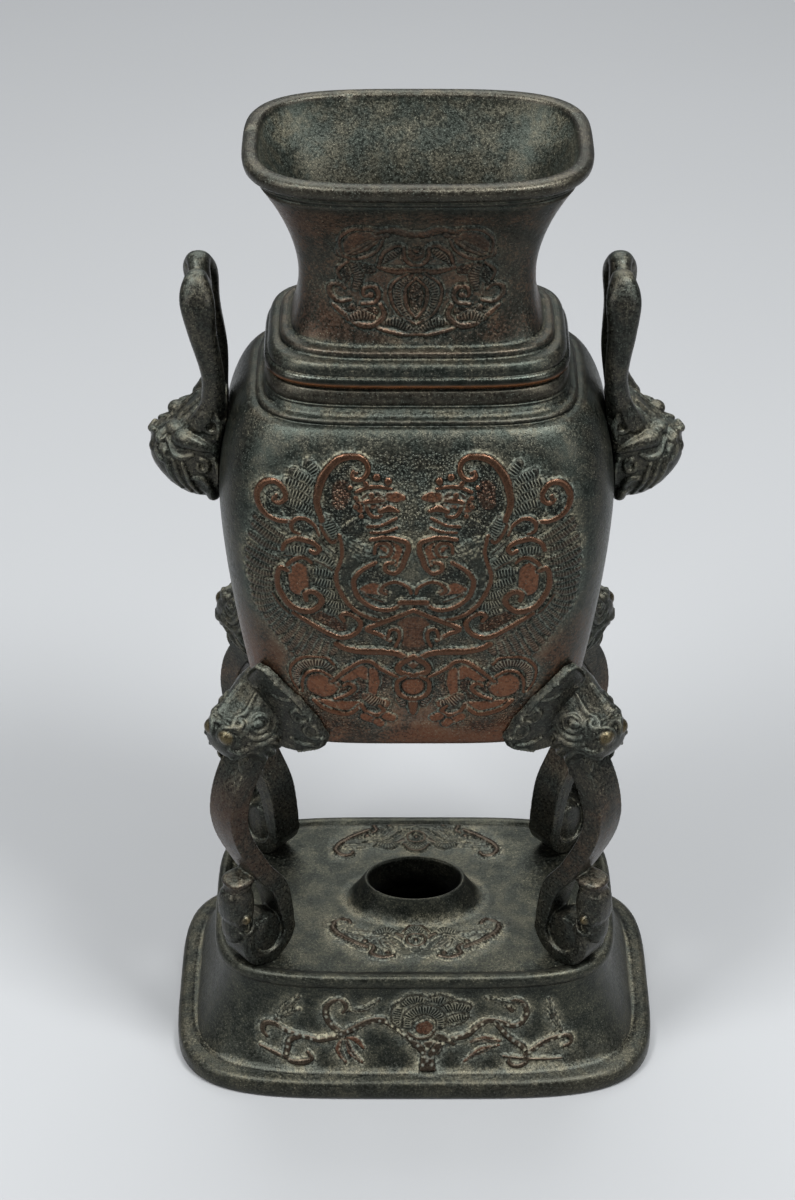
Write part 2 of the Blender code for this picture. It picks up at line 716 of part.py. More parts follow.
def mantle():
    """A shield-shaped plate wrapped round the lower corner of the body, wide below, pointed above."""
    corner = 45.0
    rings = []
    for part, wide, thick in (
        (0.0, 0.6, 1.0),
        (0.07, 0.92, 1.0),
        (0.2, 1.0, 1.0),
        (0.46, 0.88, 1.0),
        (0.68, 0.68, 1.0),
        (0.82, 0.46, 1.0),
        (1.0, 0.12, 0.6),
    ):
        z = MANTLE_LOW_Z + MANTLE_HIGH * part
        half = body_half(max(z, BODY_BOTTOM_Z + BODY_BOTTOM_ROUND)) + MANTLE_THICK * thick
        depth = half - depth_less(z)
        ring = []
        for step in range(5):
            turn = math.radians(corner + MANTLE_SPREAD * wide * (step / 2 - 1))
            ring.append(
                Vector((half * power(math.cos(turn), 2 / BODY_SQUARENESS),
                        depth * power(math.sin(turn), 2 / BODY_SQUARENESS), z))
            )
        for step in (4, 2, 0):
            ring.append(Vector((ring[step][0] - MANTLE_ROOT, ring[step][1] - MANTLE_ROOT * 0.8, z)))
        rings.append(ring)
    return lofted("mantle", rings)


def leg():
    """One leg, at the back right; the other three are its mirror images."""
    web_radius = SCROLL_RADIUS - LEG_THICK_TOE / 2
    web_half = LEG_WIDTH / 2 - SCROLL_WEB_LESS
    web = drum("web", SCROLL_OUT, foot_z() + SCROLL_RADIUS, web_radius, web_half)
    parts = [beast_head(), mantle(), cloud(), web]
    for across in (-1, 1):
        nostril = leg_frame(HEAD_NOSE_OUT - 1.8, across * 4.4, HEAD_NOSE_Z + 1.8)
        parts.append(ball("nostril", nostril, (NOSTRIL_RADIUS,) * 3))
        eye = leg_frame(HEAD_NOSE_OUT - 10.0, across * (HEAD_HALF_WIDTH - 0.8), HEAD_NOSE_Z + 3.0)
        parts.append(ball("eye", eye, (EYE_RADIUS,) * 3))
    solid = joined(leg_band(), parts)
    return joined(solid, [clearance_body()], "DIFFERENCE")


def handle_loop(lean):
    """The upright ring: two arms rising from the mask and turning in over a dipped top."""
    rise = LOOP_TOP_Z - LOOP_FOOT_Z
    half_line = (
        (-1.5, LOOP_FOOT_Z - 3.0, LOOP_FOOT_X, LOOP_FOOT_WIDTH),
        (-LOOP_HALF_SPAN + 2.2, LOOP_FOOT_Z, LOOP_FOOT_X, LOOP_FOOT_WIDTH),
        (-LOOP_HALF_SPAN, LOOP_FOOT_Z + rise * 0.28, LOOP_WAIST_X, LOOP_FOOT_WIDTH),
        (-LOOP_HALF_SPAN - 0.4, LOOP_FOOT_Z + rise * 0.62, LOOP_WAIST_X + 2.4, LOOP_TOP_WIDTH - 1.6),
        (-LOOP_HALF_SPAN + 0.6, LOOP_FOOT_Z + rise * 0.84, LOOP_TOP_X, LOOP_TOP_WIDTH),
        (-LOOP_HALF_SPAN * 0.55, LOOP_TOP_Z - LOOP_THICK / 2, LOOP_TOP_X, LOOP_TOP_WIDTH - 1.0),
        (0.0, LOOP_TOP_Z - LOOP_THICK / 2 - LOOP_DIP, LOOP_TOP_X - 0.6, LOOP_TOP_WIDTH - 3.0),
    )
    line = [Vector(point) for point in smooth_line(half_line, 2)]
    for point in line:
        point[2] += lean * (point[1] - LOOP_FOOT_Z) / rise
    whole = line + [Vector((-p[0], p[1], p[2], p[3])) for p in reversed(line[:-1])]
    rings = []
    for index, here in enumerate(whole):
        before = whole[index - 1]
        after = whole[(index + 1) % len(whole)]
        along = Vector((after[0] - before[0], after[1] - before[1])).normalized()
        inward = Vector((-along[1], along[0]))
        ring = []
        for side in range(6):
            turn = 2 * math.pi * side / 6
            reach = LOOP_THICK / 2 * math.cos(turn)
            ring.append(
                Vector((
                    here[2] + here[3] / 2 * math.sin(turn),
                    here[0] + inward[0] * reach,
                    here[1] + inward[1] * reach,
                ))
            )
        rings.append(ring)
    return lofted("loop", rings, "joined")


def mask():
    """The beast mask's mass, lofted from the side of the body out to the nose."""
    span = MASK_NOSE - MASK_BACK
    rows = (
        (0.0, MASK_HIGH_Z, MASK_LOW_Z + 1.0, 0.86),
        (0.28, MASK_HIGH_Z, MASK_LOW_Z, 1.0),
        (0.5, MASK_HIGH_Z - 5.0, MASK_LOW_Z + 1.5, 1.0),
        (0.72, MASK_HIGH_Z - 11.0, MASK_LOW_Z + 5.0, 0.88),
        (0.9, MASK_NOSE_Z + 7.5, MASK_NOSE_Z - 8.5, 0.66),
        (1.0, MASK_NOSE_Z + 3.5, MASK_NOSE_Z - 4.5, 0.4),
    )
    rings = []
    for part, top, bottom, wide in rows:
        ring = []
        for side in range(12):
            turn = 2 * math.pi * side / 12
            ring.append(
                Vector((
                    MASK_BACK + span * part,
                    MASK_HALF_WIDTH * wide * power(math.cos(turn), 0.85),
                    (top + bottom) / 2 + (top - bottom) / 2 * power(math.sin(turn), 0.85),
                ))
            )
        rings.append(ring)
    return lofted("mask", rings)


def handle(lean):
    """A handle as it stands on the +X side."""
    parts = [mask()]
    for across in (-1, 1):
        span = MASK_NOSE - MASK_BACK
        ear = (MASK_BACK + span * 0.38, across * (MASK_HALF_WIDTH - 0.7), MASK_NOSE_Z + 6.0)
        parts.append(ball("ear", ear, (5.2, 3.2, 4.0)))
        brow = (MASK_BACK + span * 0.69, across * MASK_HALF_WIDTH * 0.48, MASK_NOSE_Z + 9.0)
        parts.append(ball("brow", brow, (3.6, 4.2, 3.6)))
        nostril = (MASK_BACK + span * 0.92, across * MASK_HALF_WIDTH * 0.28, MASK_NOSE_Z + 1.0)
        parts.append(ball("nostril", nostril, (2.8, 2.8, 2.8)))
    solid = joined(handle_loop(lean), parts)
    return joined(solid, [clearance_body()], "DIFFERENCE")


def build():
    cleared_scene()
    dark = bronze("dark_bronze", BRONZE_DARK)
    brown = bronze("brown_bronze", BRONZE_BROWN)
    green = bronze("green_bronze", BRONZE_GREEN)
    finished(vessel(), brown)
    finished(stand(), green)
    back_right = finished(leg(), dark)
    back_right.name = "leg_back_right"
    mirrored_copy(back_right, "leg_back_left", True, False)
    mirrored_copy(back_right, "leg_front_right", False, True)
    mirrored_copy(back_right, "leg_front_left", True, True)
    right = finished(handle(RIGHT_LOOP_LEAN), dark)
    right.name = "handle_right"
    left = finished(handle(LEFT_LOOP_LEAN), dark)
    mirrored_copy(left, "handle_left", True, False)
    bpy.data.objects.remove(left)


build()
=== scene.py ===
import math

import bmesh
import bpy
import numpy as np
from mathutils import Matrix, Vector


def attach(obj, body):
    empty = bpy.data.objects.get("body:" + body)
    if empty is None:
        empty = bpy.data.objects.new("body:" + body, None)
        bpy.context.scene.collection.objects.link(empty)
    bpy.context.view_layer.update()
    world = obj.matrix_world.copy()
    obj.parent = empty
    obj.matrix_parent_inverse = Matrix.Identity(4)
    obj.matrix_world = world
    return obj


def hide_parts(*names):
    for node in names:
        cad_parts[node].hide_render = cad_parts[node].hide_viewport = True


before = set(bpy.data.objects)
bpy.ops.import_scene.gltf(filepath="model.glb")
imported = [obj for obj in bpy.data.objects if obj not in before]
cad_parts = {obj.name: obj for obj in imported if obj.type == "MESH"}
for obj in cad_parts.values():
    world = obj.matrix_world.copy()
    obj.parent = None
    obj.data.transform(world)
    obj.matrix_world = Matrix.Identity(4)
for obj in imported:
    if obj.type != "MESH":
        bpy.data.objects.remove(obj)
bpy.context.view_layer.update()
mm = 0.001

# materials: cast bronze with an old brown and green patina


def linearColour(code):
    channels = [int(code[k:k + 2], 16) / 255 for k in (1, 3, 5)]
    linear = [c / 12.92 if c <= 0.04045 else ((c + 0.055) / 1.055) ** 2.4 for c in channels]
    return (*linear, 1.0)


def addNode(tree, kind, settings, feeds, give=0):
    # feeds are sockets or values, in the order of the inputs or by their names
    node = tree.nodes.new("ShaderNode" + kind)
    for key, value in settings.items():
        setattr(node, key, value)
    named = feeds if isinstance(feeds, dict) else dict(enumerate(feeds))
    for socket, value in named.items():
        if isinstance(value, bpy.types.NodeSocket):
            tree.links.new(value, node.inputs[socket])
        else:
            node.inputs[socket].default_value = value
    return node.outputs[give]


def patinatedBronze(name, look):
    # dark skin, red-brown where rubbed, grey-green dust in the hollows and on what faces up; painted shade in
    # the cuts, and pale crests and flecks that are partly dust, partly painted highlights
    material = bpy.data.materials.new(name)
    material.use_nodes = True
    tree = material.node_tree
    shader = tree.nodes["Principled BSDF"]
    times = {"operation": "MULTIPLY"}
    plus = {"operation": "MULTIPLY_ADD", "use_clamp": True}
    minus = {"operation": "MULTIPLY_ADD"}
    higher = {"operation": "MAXIMUM"}
    ramp = {"interpolation_type": "SMOOTHSTEP"}
    tint = {"data_type": "RGBA"}
    place = addNode(tree, "TexCoord", {}, {}, "Object")
    high = addNode(tree, "SeparateXYZ", {}, (place,), 2)
    faces = addNode(tree, "NewGeometry", {}, {}, "Normal")
    upward = addNode(tree, "SeparateXYZ", {}, (faces,), 2)
    mark = {key: addNode(tree, "Attribute", {"attribute_name": key}, {}, "Fac")
            for key in ("hollow", "valley", "relief", "bars", "barRun", "stipple", "rust", "crease", "halo",
                        "pale", "inside", "worn", "polish")}
    broad, mottle, grain, speck, uneven = (
        addNode(tree, "TexNoise", {},
                {"Vector": place, "Scale": 1000 / size, "Detail": detail, "Roughness": rough})
        for size, detail, rough in ((look["broadSize"], 3, 0.55), (look["mottleSize"], 6, 0.65),
                                    (look["grainSize"], 4, 0.6), (look["speckSize"], 2, 0.55),
                                    (look["lumpSize"], 2, 0.55)))

    # fine carved bars and stippling that are too small for the mesh: cut into the bump, with painted shade in
    # their grooves and pale crests that are partly painted highlights
    wave = addNode(tree, "Math", times, (mark["barRun"], 2 * math.pi / look["barPitch"]))
    wave = addNode(tree, "Math", {"operation": "SINE"}, (wave,))
    cells = addNode(tree, "TexVoronoi", {}, {"Vector": place, "Scale": 1000 / look["stippleSize"]})

    steps = {  # soft steps: what is read, where the step starts and ends, and its values there
        "low": (high, look["brownHigh"] * mm, look["brownLow"] * mm),
        "offFoot": (high, look["brownFrom"] * mm, (look["brownFrom"] + 14) * mm),
        "neckFoot": (high, look["neckFrom"][0] * mm, look["neckFrom"][1] * mm),
        "neckTop": (high, look["neckTo"][0] * mm, look["neckTo"][1] * mm),
        "bodyRub": (high, look["bodyBelow"][0] * mm, look["bodyBelow"][1] * mm, look["neckRub"], 1.0),
        "bodyLines": (high, look["bodyBelow"][0] * mm, look["bodyBelow"][1] * mm, look["neckLines"], 1.0),
        "heads": (high, look["headsFrom"][0] * mm, look["headsFrom"][1] * mm),
        "outside": (mark["inside"], 1.0, 0.0),
        "raised": (mark["relief"], look["rubbedFrom"], look["rubbedFrom"] + 0.35),
        "noBars": (mark["bars"], 1.0, 0.2),
        "noStipple": (mark["stipple"], 0.8, 0.1),
        "sharpEdge": (mark["hollow"], -0.08, -0.3),
        "softEdge": (mark["hollow"], -0.02, -0.14),
        "hollow": (mark["hollow"], 0.03, look["paintedShadeFullAt"]),
        "valley": (mark["valley"], 0.12, look["valleyFull"]),
        "dull": (mark["polish"], 1.0, 0.0, 0.12, 1.0),
        "barred": (wave, 0.3, -0.5),
        "barCrest": (wave, 0.45, 0.9),
        "pitted": (cells, 0.25, 0.6),
        "pitCrest": (cells, 0.3, 0.12, 0.0, 0.6),
        "skinTone": (mottle, 0.35, 0.65),
        "dustTone": (mottle, 0.4, 0.62),
        "rubGrain": (grain, 0.3, 0.6, 0.8, 1.0),
        "rustGrain": (grain, 0.35, 0.6, 0.35, 0.9),
        "bareGrain": (grain, 0.3, 0.55, 0.5, 1.0),
        "dustGrain": (grain, 0.3, 0.6, 0.2, 0.6),
        "lineGrain": (grain, 0.42, 0.58, 0.05, 1.0),
        "thinDust": (grain, 0.4, 0.62),
        "roughGrain": (grain, 0.3, 0.7, look["rough"], look["rough"] + 0.14),
        "fine": (speck, 0.4, 0.6),
        "fleck": (speck, 0.6, 0.74),
        "ledge": (upward, look["ledgeFrom"], 1.0),
        "ledgePatch": (broad, 0.35, 0.6, 0.25, 1.0),
    }
    steps = {key: addNode(tree, "MapRange", ramp, numbers) for key, numbers in steps.items()}
    barred = addNode(tree, "Math", times, (steps["barred"], mark["bars"]))
    pits = addNode(tree, "Math", times, (steps["pitted"], mark["stipple"]))
    carved = addNode(tree, "Math", higher, (barred, pits))

    # brown lower down and again on the neck, in finely broken patches
    patches = addNode(tree, "Math", times, (broad, 0.4))
    patches = addNode(tree, "Math", plus, (mottle, 0.25, patches))
    patches = addNode(tree, "Math", plus, (grain, 0.35, patches))
    patches = addNode(tree, "MapRange", ramp, (patches, 0.44, 0.56))
    patches = addNode(tree, "Math", plus, (patches, 1.0, 0.15))
    onNeck = addNode(tree, "Math", times, (steps["neckFoot"], steps["neckTop"]))
    brown = addNode(tree, "Math", plus, (onNeck, look["brownNeck"], steps["low"]))
    for share in (steps["offFoot"], patches, steps["outside"], look["brownShare"]):
        brown = addNode(tree, "Math", times, (brown, share))

    # rubbed coppery on the carving's smooth tops and on sharp edges, rusty on its flat fills
    rubbed = steps["raised"]
    for share in (steps["rubGrain"], steps["noBars"], steps["noStipple"], steps["bodyRub"],
                  look["rubbedShare"]):
        rubbed = addNode(tree, "Math", times, (rubbed, share))
    rubbed = addNode(tree, "Math", plus, (steps["sharpEdge"], look["edgeShare"], rubbed))
    rusty = addNode(tree, "Math", times, (mark["rust"], steps["bodyRub"]))
    rusty = addNode(tree, "Math", times, (rusty, steps["rustGrain"]))

    # painted shade: nearly black in the cuts, the deep hollows and the grooves of the fine bars and
    # stippling; bare metal where it is polished
    deep = addNode(tree, "Math", times, (carved, 0.7))
    deep = addNode(tree, "Math", higher, (steps["hollow"], deep))
    deep = addNode(tree, "Math", times, (deep, steps["outside"]))
    deep = addNode(tree, "Math", times, (deep, look["paintedShadeShare"]))
    bare = addNode(tree, "Math", times, (mark["worn"], steps["bareGrain"]))
    skin = addNode(tree, "Mix", tint, {0: steps["skinTone"], 6: linearColour(look["dark"]),
                                       7: linearColour(look["skin"])}, 2)
    for share, key in ((brown, "brown"), (rubbed, "copper"), (rusty, "rust"), (deep, "deep"),
                       (bare, "bare")):
        skin = addNode(tree, "Mix", tint, {0: share, 6: skin, 7: linearColour(look[key])}, 2)

    # dust on ledges, in valleys and round the carving, less of it on rubbed tops
    ledge = addNode(tree, "Math", times, (steps["ledge"], steps["ledgePatch"]))
    edges = addNode(tree, "Math", times, (steps["softEdge"], steps["heads"]))
    dustAndHighlights = addNode(tree, "Math", times, (ledge, look["ledgeDust"]))
    for share, key in ((steps["valley"], "valleyDust"), (mark["halo"], "haloDust"), (edges, "edgeDust"),
                       (mark["inside"], "insideDust"), (steps["thinDust"], "allDust")):
        dustAndHighlights = addNode(tree, "Math", plus, (share, look[key], dustAndHighlights))
    broken = addNode(tree, "Math", plus, (steps["fine"], 0.55, steps["dustGrain"]))
    unrubbed = addNode(tree, "MapRange", ramp, (rubbed, 0.0, 1.0, 1.0, 0.25))
    for share in (broken, unrubbed):
        dustAndHighlights = addNode(tree, "Math", times, (dustAndHighlights, share))

    # pale dust lines in the creases; pale crests on the fine bars and dots and pale flecks all over, partly
    # dust and partly painted highlights and glints
    lineDustAndHighlight = addNode(tree, "Math", times, (mark["crease"], steps["lineGrain"]))
    crestDustAndHighlight = addNode(tree, "Math", times, (mark["bars"], steps["barCrest"]))
    crestDustAndHighlight = addNode(tree, "Math", times, (crestDustAndHighlight, 0.75))
    dotDustAndHighlight = addNode(tree, "Math", times, (mark["stipple"], steps["pitCrest"]))
    for share in (crestDustAndHighlight, dotDustAndHighlight):
        lineDustAndHighlight = addNode(tree, "Math", higher, (lineDustAndHighlight, share))
    lineDustAndHighlight = addNode(tree, "Math", times, (lineDustAndHighlight, steps["bodyLines"]))
    unrubbed = addNode(tree, "MapRange", ramp, (rubbed, 0.0, 1.0, 1.0, 0.3))
    # pale flecks: dust specks and painted glints
    fleckDustAndGlints = addNode(tree, "Math", times, (steps["fleck"], unrubbed))
    for share, amount in ((lineDustAndHighlight, look["lineDustAndHighlightShare"]), (fleckDustAndGlints, look["fleckDustAndGlintShare"]), (mark["pale"], 0.8)):
        dustAndHighlights = addNode(tree, "Math", plus, (share, amount, dustAndHighlights))
    dustAndHighlights = addNode(tree, "Math", times, (dustAndHighlights, steps["dull"]))
    dustColour = addNode(tree, "Mix", tint, {0: steps["dustTone"], 6: linearColour(look["dustGreen"]),
                                             7: linearColour(look["dustPale"])}, 2)
    colour = addNode(tree, "Mix", tint, {0: dustAndHighlights, 6: skin, 7: dustColour}, 2)
    metallic = addNode(tree, "MapRange", ramp, (dustAndHighlights, 0.0, 1.0, look["metal"], 0.05))
    rough = addNode(tree, "Math", plus, (dustAndHighlights, 0.6, steps["roughGrain"]))
    rough = addNode(tree, "Math", minus, (rubbed, -0.08, rough))
    rough = addNode(tree, "Math", minus, (mark["polish"], -0.14, rough))

    # casting grain and soft unevenness, with the carved bars cut in
    lumps = addNode(tree, "Math", times, (grain, look["grainBump"]))
    lumps = addNode(tree, "Math", plus, (speck, look["speckBump"], lumps))
    lumps = addNode(tree, "Math", plus, (uneven, 0.16, lumps))
    lumps = addNode(tree, "Math", minus, (carved, -0.3, lumps))
    bump = addNode(tree, "Bump", {}, {"Strength": look["bump"], "Distance": 1.0 * mm, "Height": lumps})
    for socket, value in (("Base Color", colour), ("Metallic", metallic), ("Roughness", rough),
                          ("Normal", bump)):
        tree.links.new(value, shader.inputs[socket])
    return material


bronzeLook = {  # what every piece shares; sizes and heights in mm, colours sRGB
    # deep is the colour of the near-black painted shade in the cuts and hollows
    "dark": "#1f2420", "skin": "#30322d", "brown": "#5f3b28", "copper": "#543726", "deep": "#0b0c0a",
    "rust": "#6a402a", "bare": "#774a2a", "dustGreen": "#6c746a", "dustPale": "#8b8772",
    "broadSize": 42, "mottleSize": 7, "grainSize": 0.9, "speckSize": 0.42, "lumpSize": 6,
    "brownHigh": 204, "brownLow": 152, "brownFrom": -20, "brownNeck": 0.55, "brownShare": 0.9,
    "neckFrom": (268, 279), "neckTo": (322, 317), "bodyBelow": (262, 245), "headsFrom": (118, 134),
    "neckRub": 0.25, "neckLines": 0.45, "rubbedFrom": 0.5, "rubbedShare": 0.75, "edgeShare": 0.12,
    "barPitch": 0.9, "stippleSize": 0.9, "paintedShadeFullAt": 0.12, "paintedShadeShare": 0.94,
    "ledgeFrom": 0.3, "ledgeDust": 0.12, "valleyFull": 0.6, "valleyDust": 0.2, "haloDust": 0.26,
    # lineDustAndHighlightShare sets the pale crease lines and the pale crests of the fine bars and dots,
    # partly dust and partly painted highlights; fleckDustAndGlintShare sets pale flecks, partly dust and
    # partly painted glints
    "insideDust": 0.14, "allDust": 0.12, "lineDustAndHighlightShare": 0.64, "fleckDustAndGlintShare": 0.5, "edgeDust": 0.0,
    "metal": 0.86, "rough": 0.27, "bump": 0.9, "grainBump": 0.1, "speckBump": 0.06,
}
standLook = {  # duller, hardly brown, and dusty in its corners
    **bronzeLook, "dark": "#1e211d", "skin": "#2f322c", "brown": "#3b352b", "copper": "#46372b",
    "rust": "#5c3826", "dustGreen": "#6c7066", "dustPale": "#918d78",
    "brownHigh": 20, "brownLow": 5, "brownShare": 0.3, "rubbedShare": 0.6, "edgeShare": 0.05,
    "ledgeDust": 0.16, "valleyDust": 0.55, "haloDust": 0.34, "allDust": 0.14, "rough": 0.28,
}
limbLook = {  # the darkest casts, dusty on the folds of the heads
    **bronzeLook, "dark": "#20211e", "skin": "#2f2e2a", "brown": "#432d23", "copper": "#4e372a",
    "bare": "#6a5a38", "brownHigh": 130, "brownLow": 112, "brownFrom": 74, "brownNeck": 0.0,
    "brownShare": 0.7, "edgeShare": 0.1, "ledgeDust": 0.34, "valleyDust": 0.26, "valleyFull": 0.5,
    # fleckDustAndGlintShare: pale flecks, partly dust and partly painted glints
    "fleckDustAndGlintShare": 0.45, "edgeDust": 0.3, "allDust": 0.15, "rough": 0.25,
}
vesselBronze = patinatedBronze("patinatedCastBronzeVessel", bronzeLook)
standBronze = patinatedBronze("dustyCastBronzeStand", standLook)
limbBronze = patinatedBronze("darkCastBronzeLimbs", limbLook)
print("materials ready")

# drawing relief: heights on a flat sheet, in mm, laid stroke over stroke

strokeStyles = {  # how high a stroke stands, how flat its top is, the cut beside it, and its marks
    "band": {"high": 1.05, "flat": 4.5, "base": 0.15, "cut": 0.35},
    "roll": {"high": 0.9, "flat": 2.4, "base": 0.1, "cut": 0.3},
    "flat": {"high": 0.45, "flat": 12, "base": 0.1, "cut": 0.3},
    "fill": {"high": 0.5, "flat": 10, "base": 0.1, "cut": 0.3, "rust": 1},
    "low": {"high": 0.12, "flat": 5, "base": 0.0, "cut": 0.0, "stipple": 0.5},
    "lowRust": {"high": 0.12, "flat": 5, "base": 0.0, "cut": 0.0, "stipple": 0.3, "rust": 0.7},
    "line": {"high": 0.5, "flat": 2.0, "base": 0.25, "cut": 0.2},
    "hair": {"high": 0.3, "flat": 2.0, "base": 0.3, "cut": 0.12},
    "feather": {"high": 0.7, "flat": 3.0, "base": 0.1, "cut": 0.35, "bars": 1},
    "plume": {"high": 0.6, "flat": 2.6, "base": 0.1, "cut": 0.4, "bars": 0.5},
    "leaf": {"high": 0.75, "flat": 2.6, "base": 0.1, "cut": 0.4},
    "comb": {"high": 0.85, "flat": 3.0, "base": 0.15, "cut": 0.3, "bars": 1},
    "stipple": {"high": 0.55, "flat": 6, "base": 0.1, "cut": 0.3, "stipple": 1},
    "branch": {"high": 1.05, "flat": 2.6, "base": 0.1, "cut": 0.2},
}
markNames = ("bars", "stipple", "rust", "pale")


def blankSheet(low, high, step=0.22):
    x, z = np.meshgrid(np.arange(low[0], high[0], step), np.arange(low[1], high[1], step))
    blank = {key: np.zeros_like(x) for key in ("relief", "barRun", "crease", "halo") + markNames}
    return {"low": low, "step": step, "x": x, "z": z, **blank}


def smoothLine(points, perSpan=7):
    p = np.array(points, float)
    if len(p) < 2:
        p = np.vstack([p, p + 1e-3])
    padded = np.vstack([2 * p[0] - p[1], p, 2 * p[-1] - p[-2]])
    line = []
    for p0, p1, p2, p3 in zip(padded, padded[1:], padded[2:], padded[3:]):
        for t in np.arange(perSpan) / perSpan:
            line.append(0.5 * (2 * p1 + (p2 - p0) * t + (2 * p0 - 5 * p1 + 4 * p2 - p3) * t**2
                               + (3 * p1 - p0 - 3 * p2 + p3) * t**3))
    line.append(p[-1])
    return np.array(line)


def distances(sheet, line, reach):
    near = np.full(sheet["x"].shape, 99.0)
    run = np.zeros_like(near)
    done = 0.0
    for a, b in zip(line[:-1], line[1:]):
        span = b - a
        length = max(math.hypot(*span), 1e-6)
        first = [max(int((min(a[k], b[k]) - reach - sheet["low"][k]) / sheet["step"]), 0) for k in (0, 1)]
        last = [max(int((max(a[k], b[k]) + reach - sheet["low"][k]) / sheet["step"]) + 2, 0) for k in (0, 1)]
        part = (slice(first[1], last[1]), slice(first[0], last[0]))
        px = sheet["x"][part] - a[0]
        pz = sheet["z"][part] - a[1]
        along = np.clip((px * span[0] + pz * span[1]) / length**2, 0, 1)
        gap = np.hypot(px - along * span[0], pz - along * span[1])
        closer = gap < near[part]
        near[part][closer] = gap[closer]
        run[part][closer] = (done + along * length)[closer]
        done += length
    return near, run, done


def layStroke(sheet, style, widths, points):
    look = strokeStyles[style]
    widths = np.atleast_1d(widths) / 2
    near, run, total = distances(sheet, smoothLine(points), widths.max() + 1.0)
    half = np.interp(run / total, np.linspace(0, 1, len(widths)), widths)
    ratio = near / half
    inside = ratio < 1
    beside = ~inside & (near - half < 0.5)
    sheet["relief"][beside] -= look["cut"] * (1 - (near - half)[beside] / 0.5)
    sheet["relief"] = np.maximum(sheet["relief"], -0.35)
    if look["cut"] > 0.1:
        sheet["crease"][beside] = 1
    top = look["base"] + look["high"] * np.sqrt(np.clip(1 - ratio ** look["flat"], 0, 1))
    sheet["relief"][inside] = top[inside]
    for mark in markNames:
        sheet[mark][inside] = look.get(mark, 0) * (ratio[inside] < 0.85)
    sheet["barRun"][inside] = run[inside]
    sheet["crease"][inside] = 0


def layDots(sheet, radius, high, points):
    for x, z in points:
        gap = np.hypot(sheet["x"] - x, sheet["z"] - z) / radius
        ringed = (gap >= 1) & (gap < 1.45)
        sheet["relief"][ringed] -= 0.2
        inside = gap < 1
        sheet["relief"][inside] = 0.35 + high * np.sqrt(1 - gap[inside] ** 2)
        for mark in markNames + ("crease",):
            sheet[mark][inside] = 0


def layHalo(sheet, reach, share=1.0):
    # a soft rim of dust on the plain ground round all that is carved
    carved = (sheet["relief"] > 0.1).astype(float)
    soft = carved.copy()
    steps = int(reach / sheet["step"])
    for axis in (0, 1) * 3:
        rim = [(steps, steps) if axis == k else (0, 0) for k in (0, 1)]
        total = np.cumsum(np.pad(soft, rim, "edge"), axis)
        ahead = np.take(total, range(2 * steps, total.shape[axis]), axis)
        behind = np.take(total, range(0, total.shape[axis] - 2 * steps), axis)
        soft = (ahead - behind) / (2 * steps)
    sheet["halo"] = share * np.clip(soft * (0.5 - soft) * 14, 0, 1) * (1 - carved)


def layFeathers(sheet, style, roots, tips, count, widths):
    roots, tips = smoothLine(roots), smoothLine(tips)
    for share in np.linspace(0, 1, count):
        root = roots[int(share * (len(roots) - 1))]
        tip = tips[int(share * (len(tips) - 1))]
        bend = (root + tip) / 2 + np.array([0.3, -0.7])
        layStroke(sheet, style, widths, [root, bend, tip])


def spiral(centre, radius, turns, start, inner):
    angles = start + np.linspace(0, 2 * math.pi * turns, int(turns * 10))
    reach = np.linspace(radius, radius * inner, len(angles))
    return np.stack([centre[0] + reach * np.cos(angles), centre[1] + reach * np.sin(angles)], 1)


def readSheet(sheet, key, x, z):
    # the sheet's value at each point, none outside it
    column = (x - sheet["low"][0]) / sheet["step"]
    row = (z - sheet["low"][1]) / sheet["step"]
    rows, columns = sheet["x"].shape
    held = (column >= 0) & (row >= 0) & (column < columns - 1.001) & (row < rows - 1.001)
    c, r = np.where(held, column, 0), np.where(held, row, 0)
    c0, r0 = c.astype(int), r.astype(int)
    fc, fr = c - c0, r - r0
    values = sheet[key]
    low = values[r0, c0] * (1 - fc) + values[r0, c0 + 1] * fc
    high = values[r0 + 1, c0] * (1 - fc) + values[r0 + 1, c0 + 1] * fc
    return np.where(held, low * (1 - fr) + high * fr, 0.0)


# the body's roundel: one of two confronted phoenixes, its other half is mirrored

roundel = {"centre": -1.0, "low": (-52.0, 145.0), "high": (4.5, 248.0)}
phoenixGround = (
    ("low", (16, 20, 12), ((-3, 196), (-1, 184), (-1, 176))),
    ("low", 13, ((-33, 222), (-35, 230))),
    ("low", (13, 14), ((-21, 230), (-20, 238))),
    ("lowRust", (5, 7), ((-22, 232), (-21, 236))),
    ("lowRust", (6, 8, 5), ((-33, 193), (-26, 190), (-22, 188))),
    ("low", (10, 12), ((-12, 166), (-20, 162))),
    ("lowRust", (7, 9), ((-1, 183), (-1, 188))),
    ("hair", 0.7, ((-40.6, 227.4), (-41.6, 229.6))),
    ("hair", 0.7, ((-42.6, 228.4), (-42.4, 230.6))),
    ("hair", 0.7, ((-44.0, 230.6), (-42.8, 231.8))),
    ("hair", 0.7, ((-44.0, 233.4), (-42.6, 233.2))),
    ("hair", 0.7, ((-42.6, 235.4), (-41.6, 234.2))),
    ("hair", 0.7, ((-40.0, 236.0), (-40.2, 234.6))),
    ("hair", 0.7, ((-38.4, 226.6), (-39.6, 228.8))),
    ("hair", 0.7, ((-29.2, 221.6), (-26.4, 218.2), (-23.4, 215.0))),
    ("hair", 0.7, ((-31.0, 221.2), (-28.0, 217.4), (-24.6, 213.6))),
    ("hair", 0.7, ((-36.4, 222.6), (-33.4, 220.6))),
    ("hair", 0.7, ((-38.8, 223.4), (-36.2, 221.0))),
    ("hair", 0.7, ((-47.0, 222.6), (-42.6, 220.6), (-39.4, 218.4))),
)
